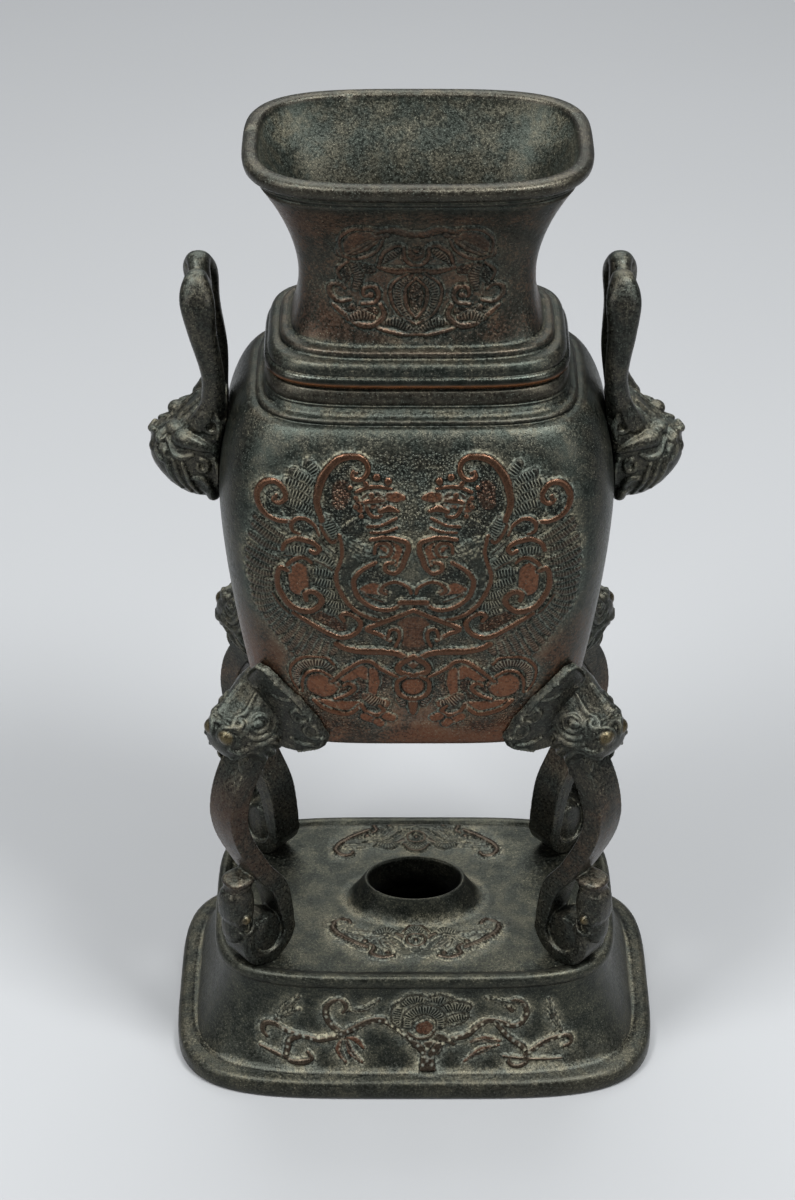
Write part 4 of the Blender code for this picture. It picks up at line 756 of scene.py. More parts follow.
def gridNormals(grid):
    along = np.roll(grid, -1, 1) - np.roll(grid, 1, 1)
    along[:, 0] = along[:, -1] = grid[:, 1] - grid[:, -2]
    up = np.gradient(grid, axis=0)
    normal = np.cross(along, up)
    return normal / np.maximum(np.linalg.norm(normal, axis=2, keepdims=True), 1e-9)


def gridMesh(name, grid, marks=None):
    # a flat grid of faces, bent onto the points and welded where it meets itself
    rows, columns = grid.shape[0] - 1, grid.shape[1] - 1
    bm = bmesh.new()
    bmesh.ops.create_grid(bm, x_segments=columns, y_segments=rows, size=0.5)
    mesh = bpy.data.meshes.new(name)
    bm.to_mesh(mesh)
    bm.free()
    flat = np.empty(len(mesh.vertices) * 3)
    mesh.vertices.foreach_get("co", flat)
    column = np.rint((flat[0::3] + 0.5) * columns).astype(int)
    row = np.rint((flat[1::3] + 0.5) * rows).astype(int)
    mesh.vertices.foreach_set("co", (grid[row, column] * mm).ravel())
    for key, values in (marks or {}).items():
        mesh.attributes.new(key, "FLOAT", "POINT").data.foreach_set("value", values[row, column])
    bm = bmesh.new()
    bm.from_mesh(mesh)
    bmesh.ops.remove_doubles(bm, verts=bm.verts, dist=0.002 * mm)
    bmesh.ops.recalc_face_normals(bm, faces=bm.faces)
    bm.to_mesh(mesh)
    bm.free()
    return mesh


def feelHollows(mesh, rounds):
    # how far each point lies under its smoothed surroundings, in mm: hollows are above 0, edges below
    count = len(mesh.vertices)
    points, normals = np.empty(count * 3), np.empty(count * 3)
    mesh.vertices.foreach_get("co", points)
    mesh.vertices.foreach_get("normal", normals)
    points, normals = points.reshape(-1, 3), normals.reshape(-1, 3)
    ends = np.empty(len(mesh.edges) * 2, int)
    mesh.edges.foreach_get("vertices", ends)
    a, b = ends[0::2], ends[1::2]
    near = np.bincount(a, minlength=count) + np.bincount(b, minlength=count)
    soft = points.copy()
    for turn in range(rounds[1]):
        total = np.stack([np.bincount(a, soft[b, k], count) + np.bincount(b, soft[a, k], count)
                          for k in range(3)], 1)
        soft = (soft + total / np.maximum(near, 1)[:, None]) / 2
        if turn + 1 in rounds:
            depth = ((soft - points) * normals).sum(1) / mm
            key = "hollow" if turn + 1 == rounds[0] else "valley"
            mesh.attributes.new(key, "FLOAT", "POINT").data.foreach_set("value", depth)


def changed(name, mesh, kind, settings):
    # the mesh with one modifier applied
    holder = bpy.data.objects.new(name, mesh)
    bpy.context.scene.collection.objects.link(holder)
    modifier = holder.modifiers.new(kind.lower(), kind)
    for key, value in settings.items():
        setattr(modifier, key, value)
    graph = bpy.context.evaluated_depsgraph_get()
    result = bpy.data.meshes.new_from_object(holder.evaluated_get(graph))
    bpy.data.objects.remove(holder)
    return result


def triangles(mesh):
    return sum(len(face.vertices) - 2 for face in mesh.polygons)


def finishPiece(name, mesh, material, node):
    mesh.materials.clear()
    mesh.materials.append(material)
    mesh.shade_smooth()
    piece = bpy.data.objects.new(name, mesh)
    bpy.context.scene.collection.objects.link(piece)
    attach(piece, "root")
    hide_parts(node)
    print(name, triangles(mesh), "triangles")


vesselSizes = {  # mm; the same outline as the CAD vessel, with its mouldings rounded
    "bottom": 138.0, "bottomHalf": 49.5, "bottomRound": 3.0, "belly": 219.0, "bellyHalf": 60.2, "swell": 1.5,
    "shoulder": 253.5, "shoulderRound": 1.92, "collarHalf": 46.9, "less": 17.0, "bottomLess": 11.5,
    "neckFoot": 272.7, "neckFootHalf": 37.6, "neckLength": 49.3, "waistShare": 0.351, "waistHalf": 34.9,
    "neckTopHalf": 46.2, "wall": 3.0, "seam": 0.3, "bodySquare": 4.2, "neckSquare": 3.8, "lipSquare": 3.4,
    "frontSteps": 232, "backSteps": 150, "sideSteps": 46, "carvedStep": 0.45, "keptTriangles": 190000,
    "flaws": (  # little pits and nicks: where, how wide and how deep
        ((32.0, -21.0, 273.4), 0.7, 1.2), ((30.4, -21.6, 272.9), 0.6, 1.0), ((33.6, -20.8, 273.6), 0.5, 0.8),
        ((10.2, -22.0, 271.9), 0.6, 0.9), ((8.8, -22.4, 271.7), 0.5, 0.7), ((-19.9, 28.2, 329.8), 1.3, 0.9),
        ((-48.2, 5.0, 329.6), 1.1, 0.8), ((-47.0, 6.4, 329.4), 0.8, 0.6)),
}


def bodyHalf(z):
    s = vesselSizes
    up = np.clip((z - s["belly"]) / (s["shoulder"] - s["belly"]), 0, 1)
    down = np.clip((s["belly"] - z) / (s["belly"] - s["bottom"]), 0, 1)
    top = s["collarHalf"] + (s["bellyHalf"] - s["collarHalf"]) * (
        1 - up ** s["shoulderRound"]) ** (1 / s["shoulderRound"])
    low = s["bellyHalf"] - (s["bellyHalf"] - s["bottomHalf"]) * down ** s["swell"]
    return np.where(z >= s["belly"], top, low)


def depthLess(z):
    s = vesselSizes
    down = np.clip((s["belly"] - z) / (s["belly"] - s["bottom"]), 0, 1)
    return s["less"] + (s["bottomLess"] - s["less"]) * down


def neckHalf(z):
    s = vesselSizes
    waist = s["neckFoot"] + s["neckLength"] * s["waistShare"]
    up = np.clip((z - waist) / (s["neckLength"] * (1 - s["waistShare"])), 0, 1)
    down = np.clip((waist - z) / (s["neckLength"] * s["waistShare"]), 0, 1)
    return (s["waistHalf"] + (s["neckTopHalf"] - s["waistHalf"]) * up**1.75
            + (s["neckFootHalf"] - s["waistHalf"]) * down**2.4)


def vesselRows():
    s = vesselSizes
    body, neck, lip = s["bodySquare"], s["neckSquare"], s["lipSquare"]
    rows = []

    def add(z, half, square, less=None):
        rows.append((z, half, half - (depthLess(z) if less is None else less), square))

    edge = s["bottomHalf"] - s["bottomRound"]
    for share in (0.0, 0.3, 0.6, 0.85):
        rows.append((s["bottom"], edge * share, (edge - s["bottomLess"]) * share, body))
    for turn in np.radians((0, 15, 32, 50, 70)):
        z = s["bottom"] + s["bottomRound"] * (1 - math.cos(turn))
        add(z, bodyHalf(z) - s["bottomRound"] * (1 - math.sin(turn)), body)
    lowest = s["bottom"] + s["bottomRound"]
    for z in np.concatenate([np.arange(lowest, 146, 0.9), np.arange(146, 248, s["carvedStep"]),
                             np.linspace(248.2, 251.8, 9)]):
        add(z, float(bodyHalf(z)), body)
    # collar: a rounded ledge, a wall with a double groove, bead, cushion and step, as height and half width
    for z, half, less in ((252.1, 49.6, 16.4), (252.2, 49.0, 16.2), (252.25, 48.5, 16.1), (252.4, 48.0, 16.0),
                          (252.7, 48.1, 16.0), (253.1, 48.2, 16.0), (253.5, 48.1, 16.0), (253.9, 47.7, 16.0),
                          (254.1, 47.1, 16.0), (254.2, 46.5, 16.2), (254.4, 46.2, 16.3), (254.9, 45.9, 16.6),
                          (256.0, 45.7, 16.8), (256.3, 45.4, 17.0), (256.5, 45.6, 17.0), (256.8, 45.65, 17.0),
                          (257.0, 45.4, 17.0), (257.2, 45.25, 17.0), (257.5, 45.5, 17.0), (259.4, 45.3, 17.0),
                          (261.0, 44.9, 17.0), (261.5, 44.4, 17.0), (261.7, 43.8, 17.0), (261.9, 43.5, 17.0)):
        add(z, half, body, less)
    for turn in np.radians(np.linspace(-80, 80, 13)):
        add(264.1 + 2.0 * math.sin(turn), 43.9 + 1.7 * math.cos(turn), body)
    for turn in np.radians(np.linspace(4, 84, 9)):
        add(266.4 + 3.5 * math.sin(turn), 42.2 + 2.3 * math.cos(turn), body)
    for z, half in ((270.0, 41.9), (270.0, 41.3), (270.2, 40.9), (270.7, 40.75), (271.4, 40.7),
                    (271.8, 40.55), (272.1, 40.2), (272.25, 39.6), (272.3, 38.9), (272.45, 38.2)):
        add(z, half, neck)
    for z in np.concatenate([np.arange(272.7, 316, s["carvedStep"]), np.arange(316, 321.8, 0.9)]):
        add(z, float(neckHalf(z)), neck)
    for z, half in ((321.9, 46.1), (322.3, 46.1), (322.7, 46.6), (323.2, 47.3), (323.7, 47.3), (324.1, 47.2),
                    (324.6, 47.9), (325.1, 48.8), (325.6, 49.5), (326.4, 50.05), (327.3, 50.3), (328.2, 50.4),
                    (329.0, 50.2), (329.6, 49.6), (329.95, 48.7), (330.0, 47.6), (329.9, 46.8), (329.6, 46.3),
                    (329.0, 45.9), (327.5, 45.5), (325.0, 44.7)):
        add(z, half, lip)
    for z in np.linspace(321, 275, 16):
        add(z, float(neckHalf(z)) - s["wall"], neck)
    for z, half in ((271, 35.6), (266, 37.6), (260, 39.8), (253.5, 40.9), (249, 46.5)):
        add(z, half, body)
    for z in np.linspace(243, 146, 14):
        add(z, float(bodyHalf(z)) - s["wall"], body)
    for z, half in ((143, 45.6), (141.6, 44.2), (141, 42.0)):
        add(z, half, body)
    for share in (0.6, 0.3, 0.0):
        rows.append((141, 42.0 * share, (42.0 - s["bottomLess"]) * share, body))
    return rows


def layOn(grid, places):
    # stands the grid out along its normals by the sheets' heights, and keeps their marks
    marks = {key: np.zeros(grid.shape[:2]) for key in ("relief", "barRun", "crease", "halo") + markNames}
    for sheet, chosen, x, z, plain in places:
        for key in marks:
            values = readSheet(sheet, key, x[chosen], z[chosen])
            marks[key][chosen] = values * (plain if key == "relief" else 1)
    grid += gridNormals(grid) * marks["relief"][:, :, None]
    return marks


def makeVessel():
    s = vesselSizes
    turns = planTurns(s["bodySquare"], s["frontSteps"], s["backSteps"], s["sideSteps"])
    grid = planGrid(vesselRows(), turns)
    x, y, z = grid[:, :, 0], grid[:, :, 1], grid[:, :, 2]
    outside = np.arange(len(grid))[:, None] < np.argmax(grid[:, 0, 2] >= 329.9) + 0 * x
    phoenix, bud = drawRoundel(), drawMedallion()
    half = -np.abs(x - roundel["centre"])
    budHalf = -np.abs(x - medallion["centre"])
    onBody = outside & (z > 144) & (z < 249)
    onNeck = outside & (z > 272.9) & (z < 316) & (y < 0)
    marks = layOn(grid, ((phoenix, onBody & (y < 0), half, z, 1.0),
                         (phoenix, onBody & (y > 0), half, z, 0.75),
                         (bud, onNeck, budHalf, z, 0.9)))
    marks["inside"] = 1.0 * (~outside & (z < 328.5))
    marks["worn"] = outside * np.interp(z, (262.1, 262.5, 263.6, 264.2), (0, 1, 1, 0))
    marks["polish"] = outside * np.interp(z, (262.0, 262.5, 265.2, 266.2), (0, 1, 1, 0))
    for centre, radius, deep in s["flaws"]:
        gap = np.linalg.norm(grid - np.array(centre), axis=2) / radius
        grid -= gridNormals(grid) * (deep * np.exp(-gap**2))[:, :, None]
    mesh = gridMesh("vesselRaw", grid, marks)
    feelHollows(mesh, (9, 60))
    mesh = changed("vesselRaw", mesh, "DECIMATE", {"ratio": s["keptTriangles"] / triangles(mesh)})
    finishPiece("vesselBronze", mesh, vesselBronze, "vessel")


makeVessel()

standSizes = {  # mm; the same outline as the CAD stand, with its mouldings rounded
    "flangeHalf": 81.8, "flangeLess": 28.0, "flangeHigh": 7.2, "footHalf": 76.0, "footLess": 27.0,
    "top": 39.5, "topHalf": 66.6, "ridgeTop": 44.6, "ridgeHalf": 67.8, "ridgeLess": 25.0, "plateau": 43.4,
    "wall": 3.6, "holeHalf": 15.7, "holeLess": 5.3, "collarFoot": 23.5, "collarLess": 9.0, "collarTop": 52.2,
    "square": 4.4,
    "frontSteps": 270, "backSteps": 150, "sideSteps": 50, "carvedStep": 0.45, "keptTriangles": 150000,
}


def skirtSize(z):
    s = standSizes
    part = np.clip((z - s["flangeHigh"]) / (s["top"] - s["flangeHigh"]), 0, 1)
    return (s["topHalf"] + (s["footHalf"] - s["topHalf"]) * (1 - part) ** 2,
            s["footLess"] + (s["ridgeLess"] - s["footLess"]) * part)


def standRows():
    s = standSizes
    rows = []

    def add(z, half, less, square=s["square"]):
        rows.append((z, half, half - less, square))

    for z, inset in ((0.0, 6.2), (0.0, 3.4), (0.0, 1.2), (0.3, 0.4), (1.2, 0.0), (3.0, 0.0), (5.0, 0.1),
                     (6.2, 0.5), (6.9, 1.4), (7.2, 2.6), (7.3, 3.6), (7.6, 4.6)):
        add(z, s["flangeHalf"] - inset, s["flangeLess"] - (0.6 if z > s["flangeHigh"] else 0))
    for z in np.concatenate([np.arange(8.0, 39.3, s["carvedStep"]), [s["top"]]]):
        add(z, *skirtSize(z))
    for drop, inset in ((4.8, 0.8), (4.3, 0.3), (3.6, 0.0), (2.2, -0.05), (1.0, 0.2), (0.3, 0.8),
                        (0.0, 1.7), (0.1, 2.6), (0.5, 3.3), (0.9, 3.8), (1.1, 4.4)):
        add(s["ridgeTop"] - drop, s["ridgeHalf"] - inset, s["ridgeLess"])
    for share in np.linspace(0, 1, 58) ** 0.9:
        half = 63.0 + (s["collarFoot"] + 0.8 - 63.0) * share
        less = s["ridgeLess"] + (s["collarLess"] - s["ridgeLess"]) * share
        add(s["plateau"], half, less, s["square"] + (2.0 - s["square"]) * share)
    rim = s["holeHalf"] + 1.0
    for share, out in ((0.02, 1.0), (0.05, 0.93), (0.12, 0.85), (0.24, 0.72), (0.4, 0.56), (0.58, 0.4),
                       (0.76, 0.25), (0.88, 0.15), (0.95, 0.09), (0.99, 0.03), (1.0, 0.0)):
        add(s["plateau"] + (s["collarTop"] - s["plateau"]) * share, rim + (s["collarFoot"] - rim) * out,
            s["holeLess"] + (s["collarLess"] - s["holeLess"]) * out, 2.0)
    for z, more in ((52.1, -0.45), (51.8, -0.8), (51.2, -1.0), (45.0, -1.0), (39.8, -1.0)):
        add(z, rim + more, s["holeLess"], 2.0)
    ceiling = s["plateau"] - s["wall"]
    for share in (0.0, 0.5, 1.0):
        less = s["holeLess"] + (s["ridgeLess"] - s["holeLess"]) * share
        add(ceiling, 16.0 + 44.6 * share, less, 2.0 + (s["square"] - 2.0) * share)
    for z in (36, 24, 14, s["flangeHigh"]):
        half, less = skirtSize(z)
        add(z, float(half) - s["wall"], float(less))
    add(1.0, s["flangeHalf"] - 6.9, s["flangeLess"])
    rows.append(rows[0])
    return rows


def makeStand():
    s = standSizes
    grid = planGrid(standRows(), planTurns(s["square"], s["frontSteps"], s["backSteps"], s["sideSteps"]))
    x, y, z = grid[:, :, 0], grid[:, :, 1], grid[:, :, 2]
    rowNumber = np.arange(len(grid))[:, None] + 0 * x
    flatRows = np.flatnonzero(np.abs(grid[:, 0, 2] - s["plateau"]) < 1e-6)
    onTop = (rowNumber >= flatRows[0]) & (rowNumber <= flatRows[-1])
    onSkirt = (rowNumber < flatRows[0]) & (z > 7.6) & (z < 39.5)
    bough, spray = drawBough(), drawSpray()
    marks = layOn(grid, ((bough, onSkirt & (y < 0), x, z, 1.0), (bough, onSkirt & (y > 0), -x, z, 0.7),
                         (spray, onTop & (y < 0), -np.abs(x - 0.4), y, 1.0),
                         (spray, onTop & (y > 0), -np.abs(x - 0.8), 9.0 - y, 0.9)))
    mesh = gridMesh("standRaw", grid, marks)
    feelHollows(mesh, (9, 60))
    mesh = changed("standRaw", mesh, "DECIMATE", {"ratio": s["keptTriangles"] / triangles(mesh)})
    finishPiece("standBronze", mesh, standBronze, "stand")


makeStand()
print("vessel and stand done")

# legs: S-curved bands under beast heads, with a shield on the corner and a cloud on the foot


def bandGrid(line, halfThick, section):
    # a band along a line in the leg's own plane; section gives across and outward shares
    step = np.gradient(line, axis=0)
    step /= np.linalg.norm(step, axis=1, keepdims=True)
    outward = np.stack([-step[:, 1], step[:, 0]], 1)
    rows = []
    for here, away, half in zip(line, outward, halfThick):
        spot = here[None, :] + away[None, :] * (section[:, 1] * half[1])[:, None]
        rows.append(legPlace(spot[:, 0], section[:, 0] * half[0], spot[:, 1]))
    first, last = rows[0].mean(0)[None, :] + 0 * rows[0], rows[-1].mean(0)[None, :] + 0 * rows[-1]
    grid = np.stack([first] + rows + [last])
    return np.concatenate([grid, grid[:, :1]], 1)


def roundedSection(corners, rounds=3):
    points = np.array(corners, float)
    for _ in range(rounds):
        after = np.roll(points, -1, 0)
        points = np.stack([points * 0.75 + after * 0.25, points * 0.25 + after * 0.75], 1).reshape(-1, 2)
    return points


def ropeGrid(points, radii, sides=12):
    # a round strand through the points, drawn out to nothing at both ends
    line = smoothLine(points, 5)
    radii = np.interp(np.linspace(0, 1, len(line)), np.linspace(0, 1, len(radii)), radii)
    step = np.gradient(line, axis=0)
    step /= np.maximum(np.linalg.norm(step, axis=1, keepdims=True), 1e-9)
    side = np.cross(step, [0.31, 0.17, 0.93])
    for k in range(1, len(side)):  # keep the frame from twisting
        turned = side[k - 1] - step[k] * (side[k - 1] @ step[k])
        side[k] = turned
    side /= np.linalg.norm(side, axis=1, keepdims=True)
    up = np.cross(step, side)
    angles = np.linspace(0, 2 * np.pi, sides + 1)
    last = len(line) - 1
    rings = [(0, 0.0, -0.9), (0, 0.6, -0.7)] + [(k, 1.0, 0.0) for k in range(len(line))]
    rings += [(last, 0.6, 0.7), (last, 0.0, 0.9)]
    rows = []
    for k, share, push in rings:
        ring = np.cos(angles)[:, None] * side[k] + np.sin(angles)[:, None] * up[k]
        rows.append(line[k] + step[k] * (push * radii[k]) + share * radii[k] * ring)
    return np.array(rows)


def ballGrid(centre, radii, axes=None, rings=10, sides=16, blunt=1.0):
    turns = np.linspace(0, 2 * np.pi, sides + 1)[None, :]
    rise = np.linspace(-np.pi / 2, np.pi / 2, rings + 1)[:, None]
    wide = power(np.cos(rise), blunt)
    unit = np.stack([wide * power(np.cos(turns), blunt), wide * power(np.sin(turns), blunt),
                     power(np.sin(rise), blunt) + 0 * turns], 2)
    unit = unit * np.array(radii)
    if axes is not None:
        unit = unit @ np.array(axes)
    return unit + np.array(centre)


def beastLoft(sizeAt, back, nose, half, shares, square, place):
    # a beast's head from its flat back to its rounded nose
    close = np.concatenate([np.ones(len(shares) - 3), [0.85, 0.55, 0.0]])[:, None]
    out = back + (nose - back) * shares
    top, bottom, wide = (value[:, None] for value in sizeAt(out))
    around = np.linspace(0, 2 * np.pi, 65)[None, :]
    grid = place(out[:, None] + 0 * around, half * wide * close * power(np.cos(around), square),
                 (top + bottom) / 2 + (top - bottom) / 2 * close * power(np.sin(around), square))
    return np.concatenate([grid[:1].mean(1, keepdims=True) + 0 * grid[:1], grid])


def profileAt(profile, back, nose, out):
    # top, underside and width share of a head at a distance out
    share = (np.asarray(out, float) - back) / (nose - back)
    table = np.array(profile)
    return [np.interp(share, table[:, 0], table[:, k]) for k in (1, 2, 3)]


def castTogether(name, grids, voxel, rounds, kept, rubbedSpots=()):
    # welds overlapping shells into one cast skin, rubbed bright at the given spots
    bm = bmesh.new()
    for grid in grids:
        part = gridMesh(name, grid)
        bm.from_mesh(part)
        bpy.data.meshes.remove(part)
    mesh = bpy.data.meshes.new(name)
    bm.to_mesh(mesh)
    bm.free()
    mesh = changed(name, mesh, "REMESH", {"mode": "VOXEL", "voxel_size": voxel * mm})
    mesh = changed(name, mesh, "SMOOTH", {"factor": 0.5, "iterations": 2})
    feelHollows(mesh, rounds)
    mesh = changed(name, mesh, "DECIMATE", {"ratio": min(kept / triangles(mesh), 1.0)})
    points = np.empty(len(mesh.vertices) * 3)
    mesh.vertices.foreach_get("co", points)
    bright = np.zeros(len(mesh.vertices))
    for centre, radius in rubbedSpots:
        gap = np.linalg.norm(points.reshape(-1, 3) / mm - centre, axis=1)
        bright = np.maximum(bright, np.clip((radius - gap) / 1.6, 0, 0.5))
    for key in ("worn", "polish"):
        mesh.attributes.new(key, "FLOAT", "POINT").data.foreach_set("value", bright)
    return mesh


legSizes = {  # mm; one leg in its own plane: out from its root, across, and up
    "turn": 42.0, "root": (44.0, 22.0), "width": 11.4, "footZ": 43.7, "voxel": 0.36, "keptTriangles": 60000,
    "line": ((12.0, 132.0), (19.6, 118.0), (20.6, 104.0), (12.8, 85.0), (5.0, 72.0)),
    "thick": (9.0, 7.8, 6.6, 6.4, 6.4), "scrollOut": 10.3, "scrollRadius": 10.8, "toeThick": 4.6,
    "headBack": 1.0, "headNose": 24.7, "headHalf": 10.0, "mantleThick": 2.9, "mantleLow": 136.4,
    "mantleHigh": 32.0, "mantleSpread": 30.0, "gap": 0.35,
}
headProfile = (  # share of the way out, top, underside, width share
    (0.0, 160.0, 136.5, 0.9), (0.15, 159.6, 131.5, 1.0), (0.3, 158.0, 128.8, 1.04),
    (0.45, 155.0, 128.4, 1.02), (0.58, 152.0, 130.2, 0.97), (0.68, 150.3, 133.2, 0.92),
    (0.8, 148.8, 134.6, 0.86), (0.9, 147.6, 134.9, 0.78), (0.96, 146.6, 135.6, 0.68),
    (1.0, 145.0, 137.4, 0.5))


def legPlace(out, across, z):
    s = legSizes
    turn = math.radians(s["turn"])
    out, across, z = np.broadcast_arrays(out, across, z)
    return np.stack([s["root"][0] + out * math.cos(turn) - across * math.sin(turn),
                     s["root"][1] + out * math.sin(turn) + across * math.cos(turn), z], -1)


def headSize(out):
    return profileAt(headProfile, legSizes["headBack"], legSizes["headNose"], out)


def onFlank(points, side, lift=0.0):
    # points given as out and height, laid on the side of the head
    laid = []
    for out, z in points:
        top, bottom, wide = headSize(out)
        middle, reach = (top + bottom) / 2, (top - bottom) / 2
        share = min(abs((z - middle) / reach), 0.97)
        across = max(legSizes["headHalf"] * wide * (1 - share**2.5) ** 0.4, 4.3) + lift
        laid.append(legPlace(out, side * across, z))
    return np.array(laid)


def onCrown(points, side):
    # points given as out and across, laid on the top of the head
    laid = []
    for out, across in points:
        top, bottom, wide = headSize(out)
        middle, reach = (top + bottom) / 2, (top - bottom) / 2
        share = min(abs(across / (legSizes["headHalf"] * wide)), 0.97)
        laid.append(legPlace(out, side * across, middle + reach * (1 - share**2.5) ** 0.4))
    return np.array(laid)


headRopes = (  # on which face, radii, points
    ("crown", (0.7, 1.1, 1.1, 0.9), ((11.5, 3.8), (14.4, 4.2), (16.8, 4.4), (19.2, 3.4), (21.2, 4.2),
        (20.8, 6.0), (19.0, 6.0), (18.8, 4.8))),
    ("flank", (0.5, 0.9, 0.5), ((17.4, 146.4), (15.6, 148.6), (13.5, 149.7), (11.8, 148.9))),
    ("flank", (0.4, 0.7, 0.4), ((17.2, 145.9), (15.0, 144.7), (12.4, 145.4), (11.2, 148.2))),
    ("flank", (0.6, 1.0, 0.9, 0.5), ((18.4, 143.9), (15.6, 142.5), (12.0, 143.0), (9.6, 146.2),
        (8.8, 150.0), (7.6, 153.0))),
    ("flank", (0.6, 1.0, 0.9, 0.5), ((19.4, 141.8), (16.6, 140.2), (12.8, 139.9), (8.9, 141.6),
        (7.0, 145.6), (6.4, 149.6))),
    ("flank", (0.8, 1.0, 1.0, 0.7), ((23.4, 136.6), (22.4, 136.2), (20.6, 137.5), (18.2, 138.5),
        (15.8, 137.1), (13.6, 134.4), (11.3, 130.8), (10.6, 126.8), (11.0, 123.0))),
    ("flank", (0.8, 1.2, 0.9), ((24.2, 140.6), (22.0, 139.4), (19.4, 140.2), (16.6, 139.2))),
    ("flank", (0.8, 1.3, 1.2, 0.7), ((13.2, 140.4), (9.9, 139.1), (7.4, 135.9), (5.6, 132.2))),
    ("flank", (0.7, 1.1, 0.7), ((11.4, 136.4), (9.4, 133.6), (8.8, 130.2))),
    ("crown", (0.8, 1.1, 0.9), ((22.6, 4.8), (23.1, 2.4), (22.9, -0.4))),
    ("crown", (0.4, 0.7, 0.4), ((21.6, 6.0), (20.8, 2.6), (21.4, -0.3))),
)
shieldScrolls = (  # along the shield from the corner, height
    ("roll", (1.0, 1.8, 1.6), ((5.4, 164.0), (9.2, 162.4), (12.6, 160.2), (15.2, 156.6), (15.6, 152.6),
        (13.2, 149.4), (9.8, 149.6), (8.6, 152.4), (10.6, 154.2), (12.4, 152.8))),
    ("roll", (0.9, 1.6, 1.4), ((20.2, 151.4), (20.4, 147.4), (17.2, 143.4), (12.8, 143.2),
        (11.4, 146.2), (13.6, 148.6), (16.2, 147.6), (15.6, 145.8))),
    ("line", 0.9, ((3.2, 158.4), (6.2, 157.4), (9.4, 157.6))),
    ("roll", (0.8, 1.2, 0.6), ((6.0, 141.6), (9.2, 140.0), (14.4, 139.6))),
)


def mantleGrid():
    # the shield that clasps the vessel's corner behind the head
    s = legSizes
    square = vesselSizes["bodySquare"]
    sheet = blankSheet((-26.0, 134.0), (26.0, 172.0))
    for side in (-1, 1):
        for style, widths, points in shieldScrolls:
            layStroke(sheet, style, widths, [(side * a, z) for a, z in points])
    parts = np.concatenate([[0.0], np.linspace(0, 1, 64), [1.0]])
    share = np.interp(parts, (0, 0.07, 0.2, 0.46, 0.68, 0.82, 0.93, 1.0),
                      (0.6, 0.92, 1.0, 0.88, 0.68, 0.46, 0.28, 0.12))
    z = s["mantleLow"] + s["mantleHigh"] * parts
    wall = bodyHalf(np.maximum(z, 141.0))
    across = np.linspace(-1, 1, 81)
    turn = np.radians(45 + s["mantleSpread"] * share[:, None] * across[None, :])

    def skin(grow):
        half = wall[:, None] + grow
        depth = half - depthLess(z)[:, None]
        return np.stack([half * power(np.cos(turn), 2 / square), depth * power(np.sin(turn), 2 / square),
                         z[:, None] + 0 * turn], 2)

    outer = skin(s["mantleThick"] - 0.9)
    lengths = np.linalg.norm(np.diff(outer, axis=1), axis=2)
    along = np.concatenate([np.zeros((len(z), 1)), np.cumsum(lengths, 1)], 1)
    along -= along[:, 40:41]
    toEdge = np.abs(along[:, -1:]) - np.abs(along)
    toEdge = np.minimum(toEdge, (s["mantleLow"] + s["mantleHigh"] - z)[:, None] + 0.5)
    roll = np.clip(1 - np.abs(toEdge - 0.9) / 0.8, 0, 1) ** 0.5 * 0.8
    edge = np.clip(toEdge / 0.9, 0, 1) ** 0.5
    lift = roll + readSheet(sheet, "relief", along, z[:, None] + 0 * along) * 0.9
    grow = (s["mantleThick"] - 0.9) * (0.25 + 0.75 * edge) + lift * edge
    outer = skin(grow)
    inner = skin(s["gap"])
    outer[0], outer[-1] = inner[0], inner[-1]
    return np.concatenate([outer, inner[:, ::-1], outer[:, :1]], 1)


def legAxes():
    turn = math.radians(legSizes["turn"])
    facing = np.array([math.cos(turn), math.sin(turn), 0])
    return facing, np.array([-facing[1], facing[0], 0]), np.array([0, 0, 1.0])


def bandGrids():
    # the S-shaped band that rolls up in the foot, with a thin raised rim along both sides
    s = legSizes
    radius = s["scrollRadius"] - s["toeThick"] / 2
    scroll = [(s["scrollOut"] + radius * math.cos(t), s["footZ"] + s["scrollRadius"] + radius * math.sin(t))
              for t in np.radians(np.arange(172, 420, 22))]
    line = smoothLine(list(s["line"]) + scroll, 9)
    thick = list(s["thick"]) + [s["toeThick"]] * (len(scroll) - 2) + [3.6, 2.2]
    half = np.interp(np.linspace(0, 1, len(line)), np.linspace(0, 1, len(thick)), thick) / 2
    width = np.interp(np.linspace(0, 1, len(line)), (0, 0.7, 1), (1.0, 1.0, 0.86)) * s["width"] / 2
    section = roundedSection(((-1, -1), (-0.8, -1), (0.8, -1), (1, -1), (1, -0.7), (1, 0.7), (1, 1), (0.8, 1),
                              (0, 1.12), (-0.8, 1), (-1, 1), (-1, 0.7), (-1, -0.7)), 2)
    rim = line[6:-14:6]
    rims = [ropeGrid(legPlace(rim[:, 0], side * (s["width"] / 2 - 0.25), rim[:, 1]), (0.2, 0.45, 0.4, 0.3))
            for side in (-1, 1)]
    return [bandGrid(line, np.stack([width, half], 1), section)] + rims


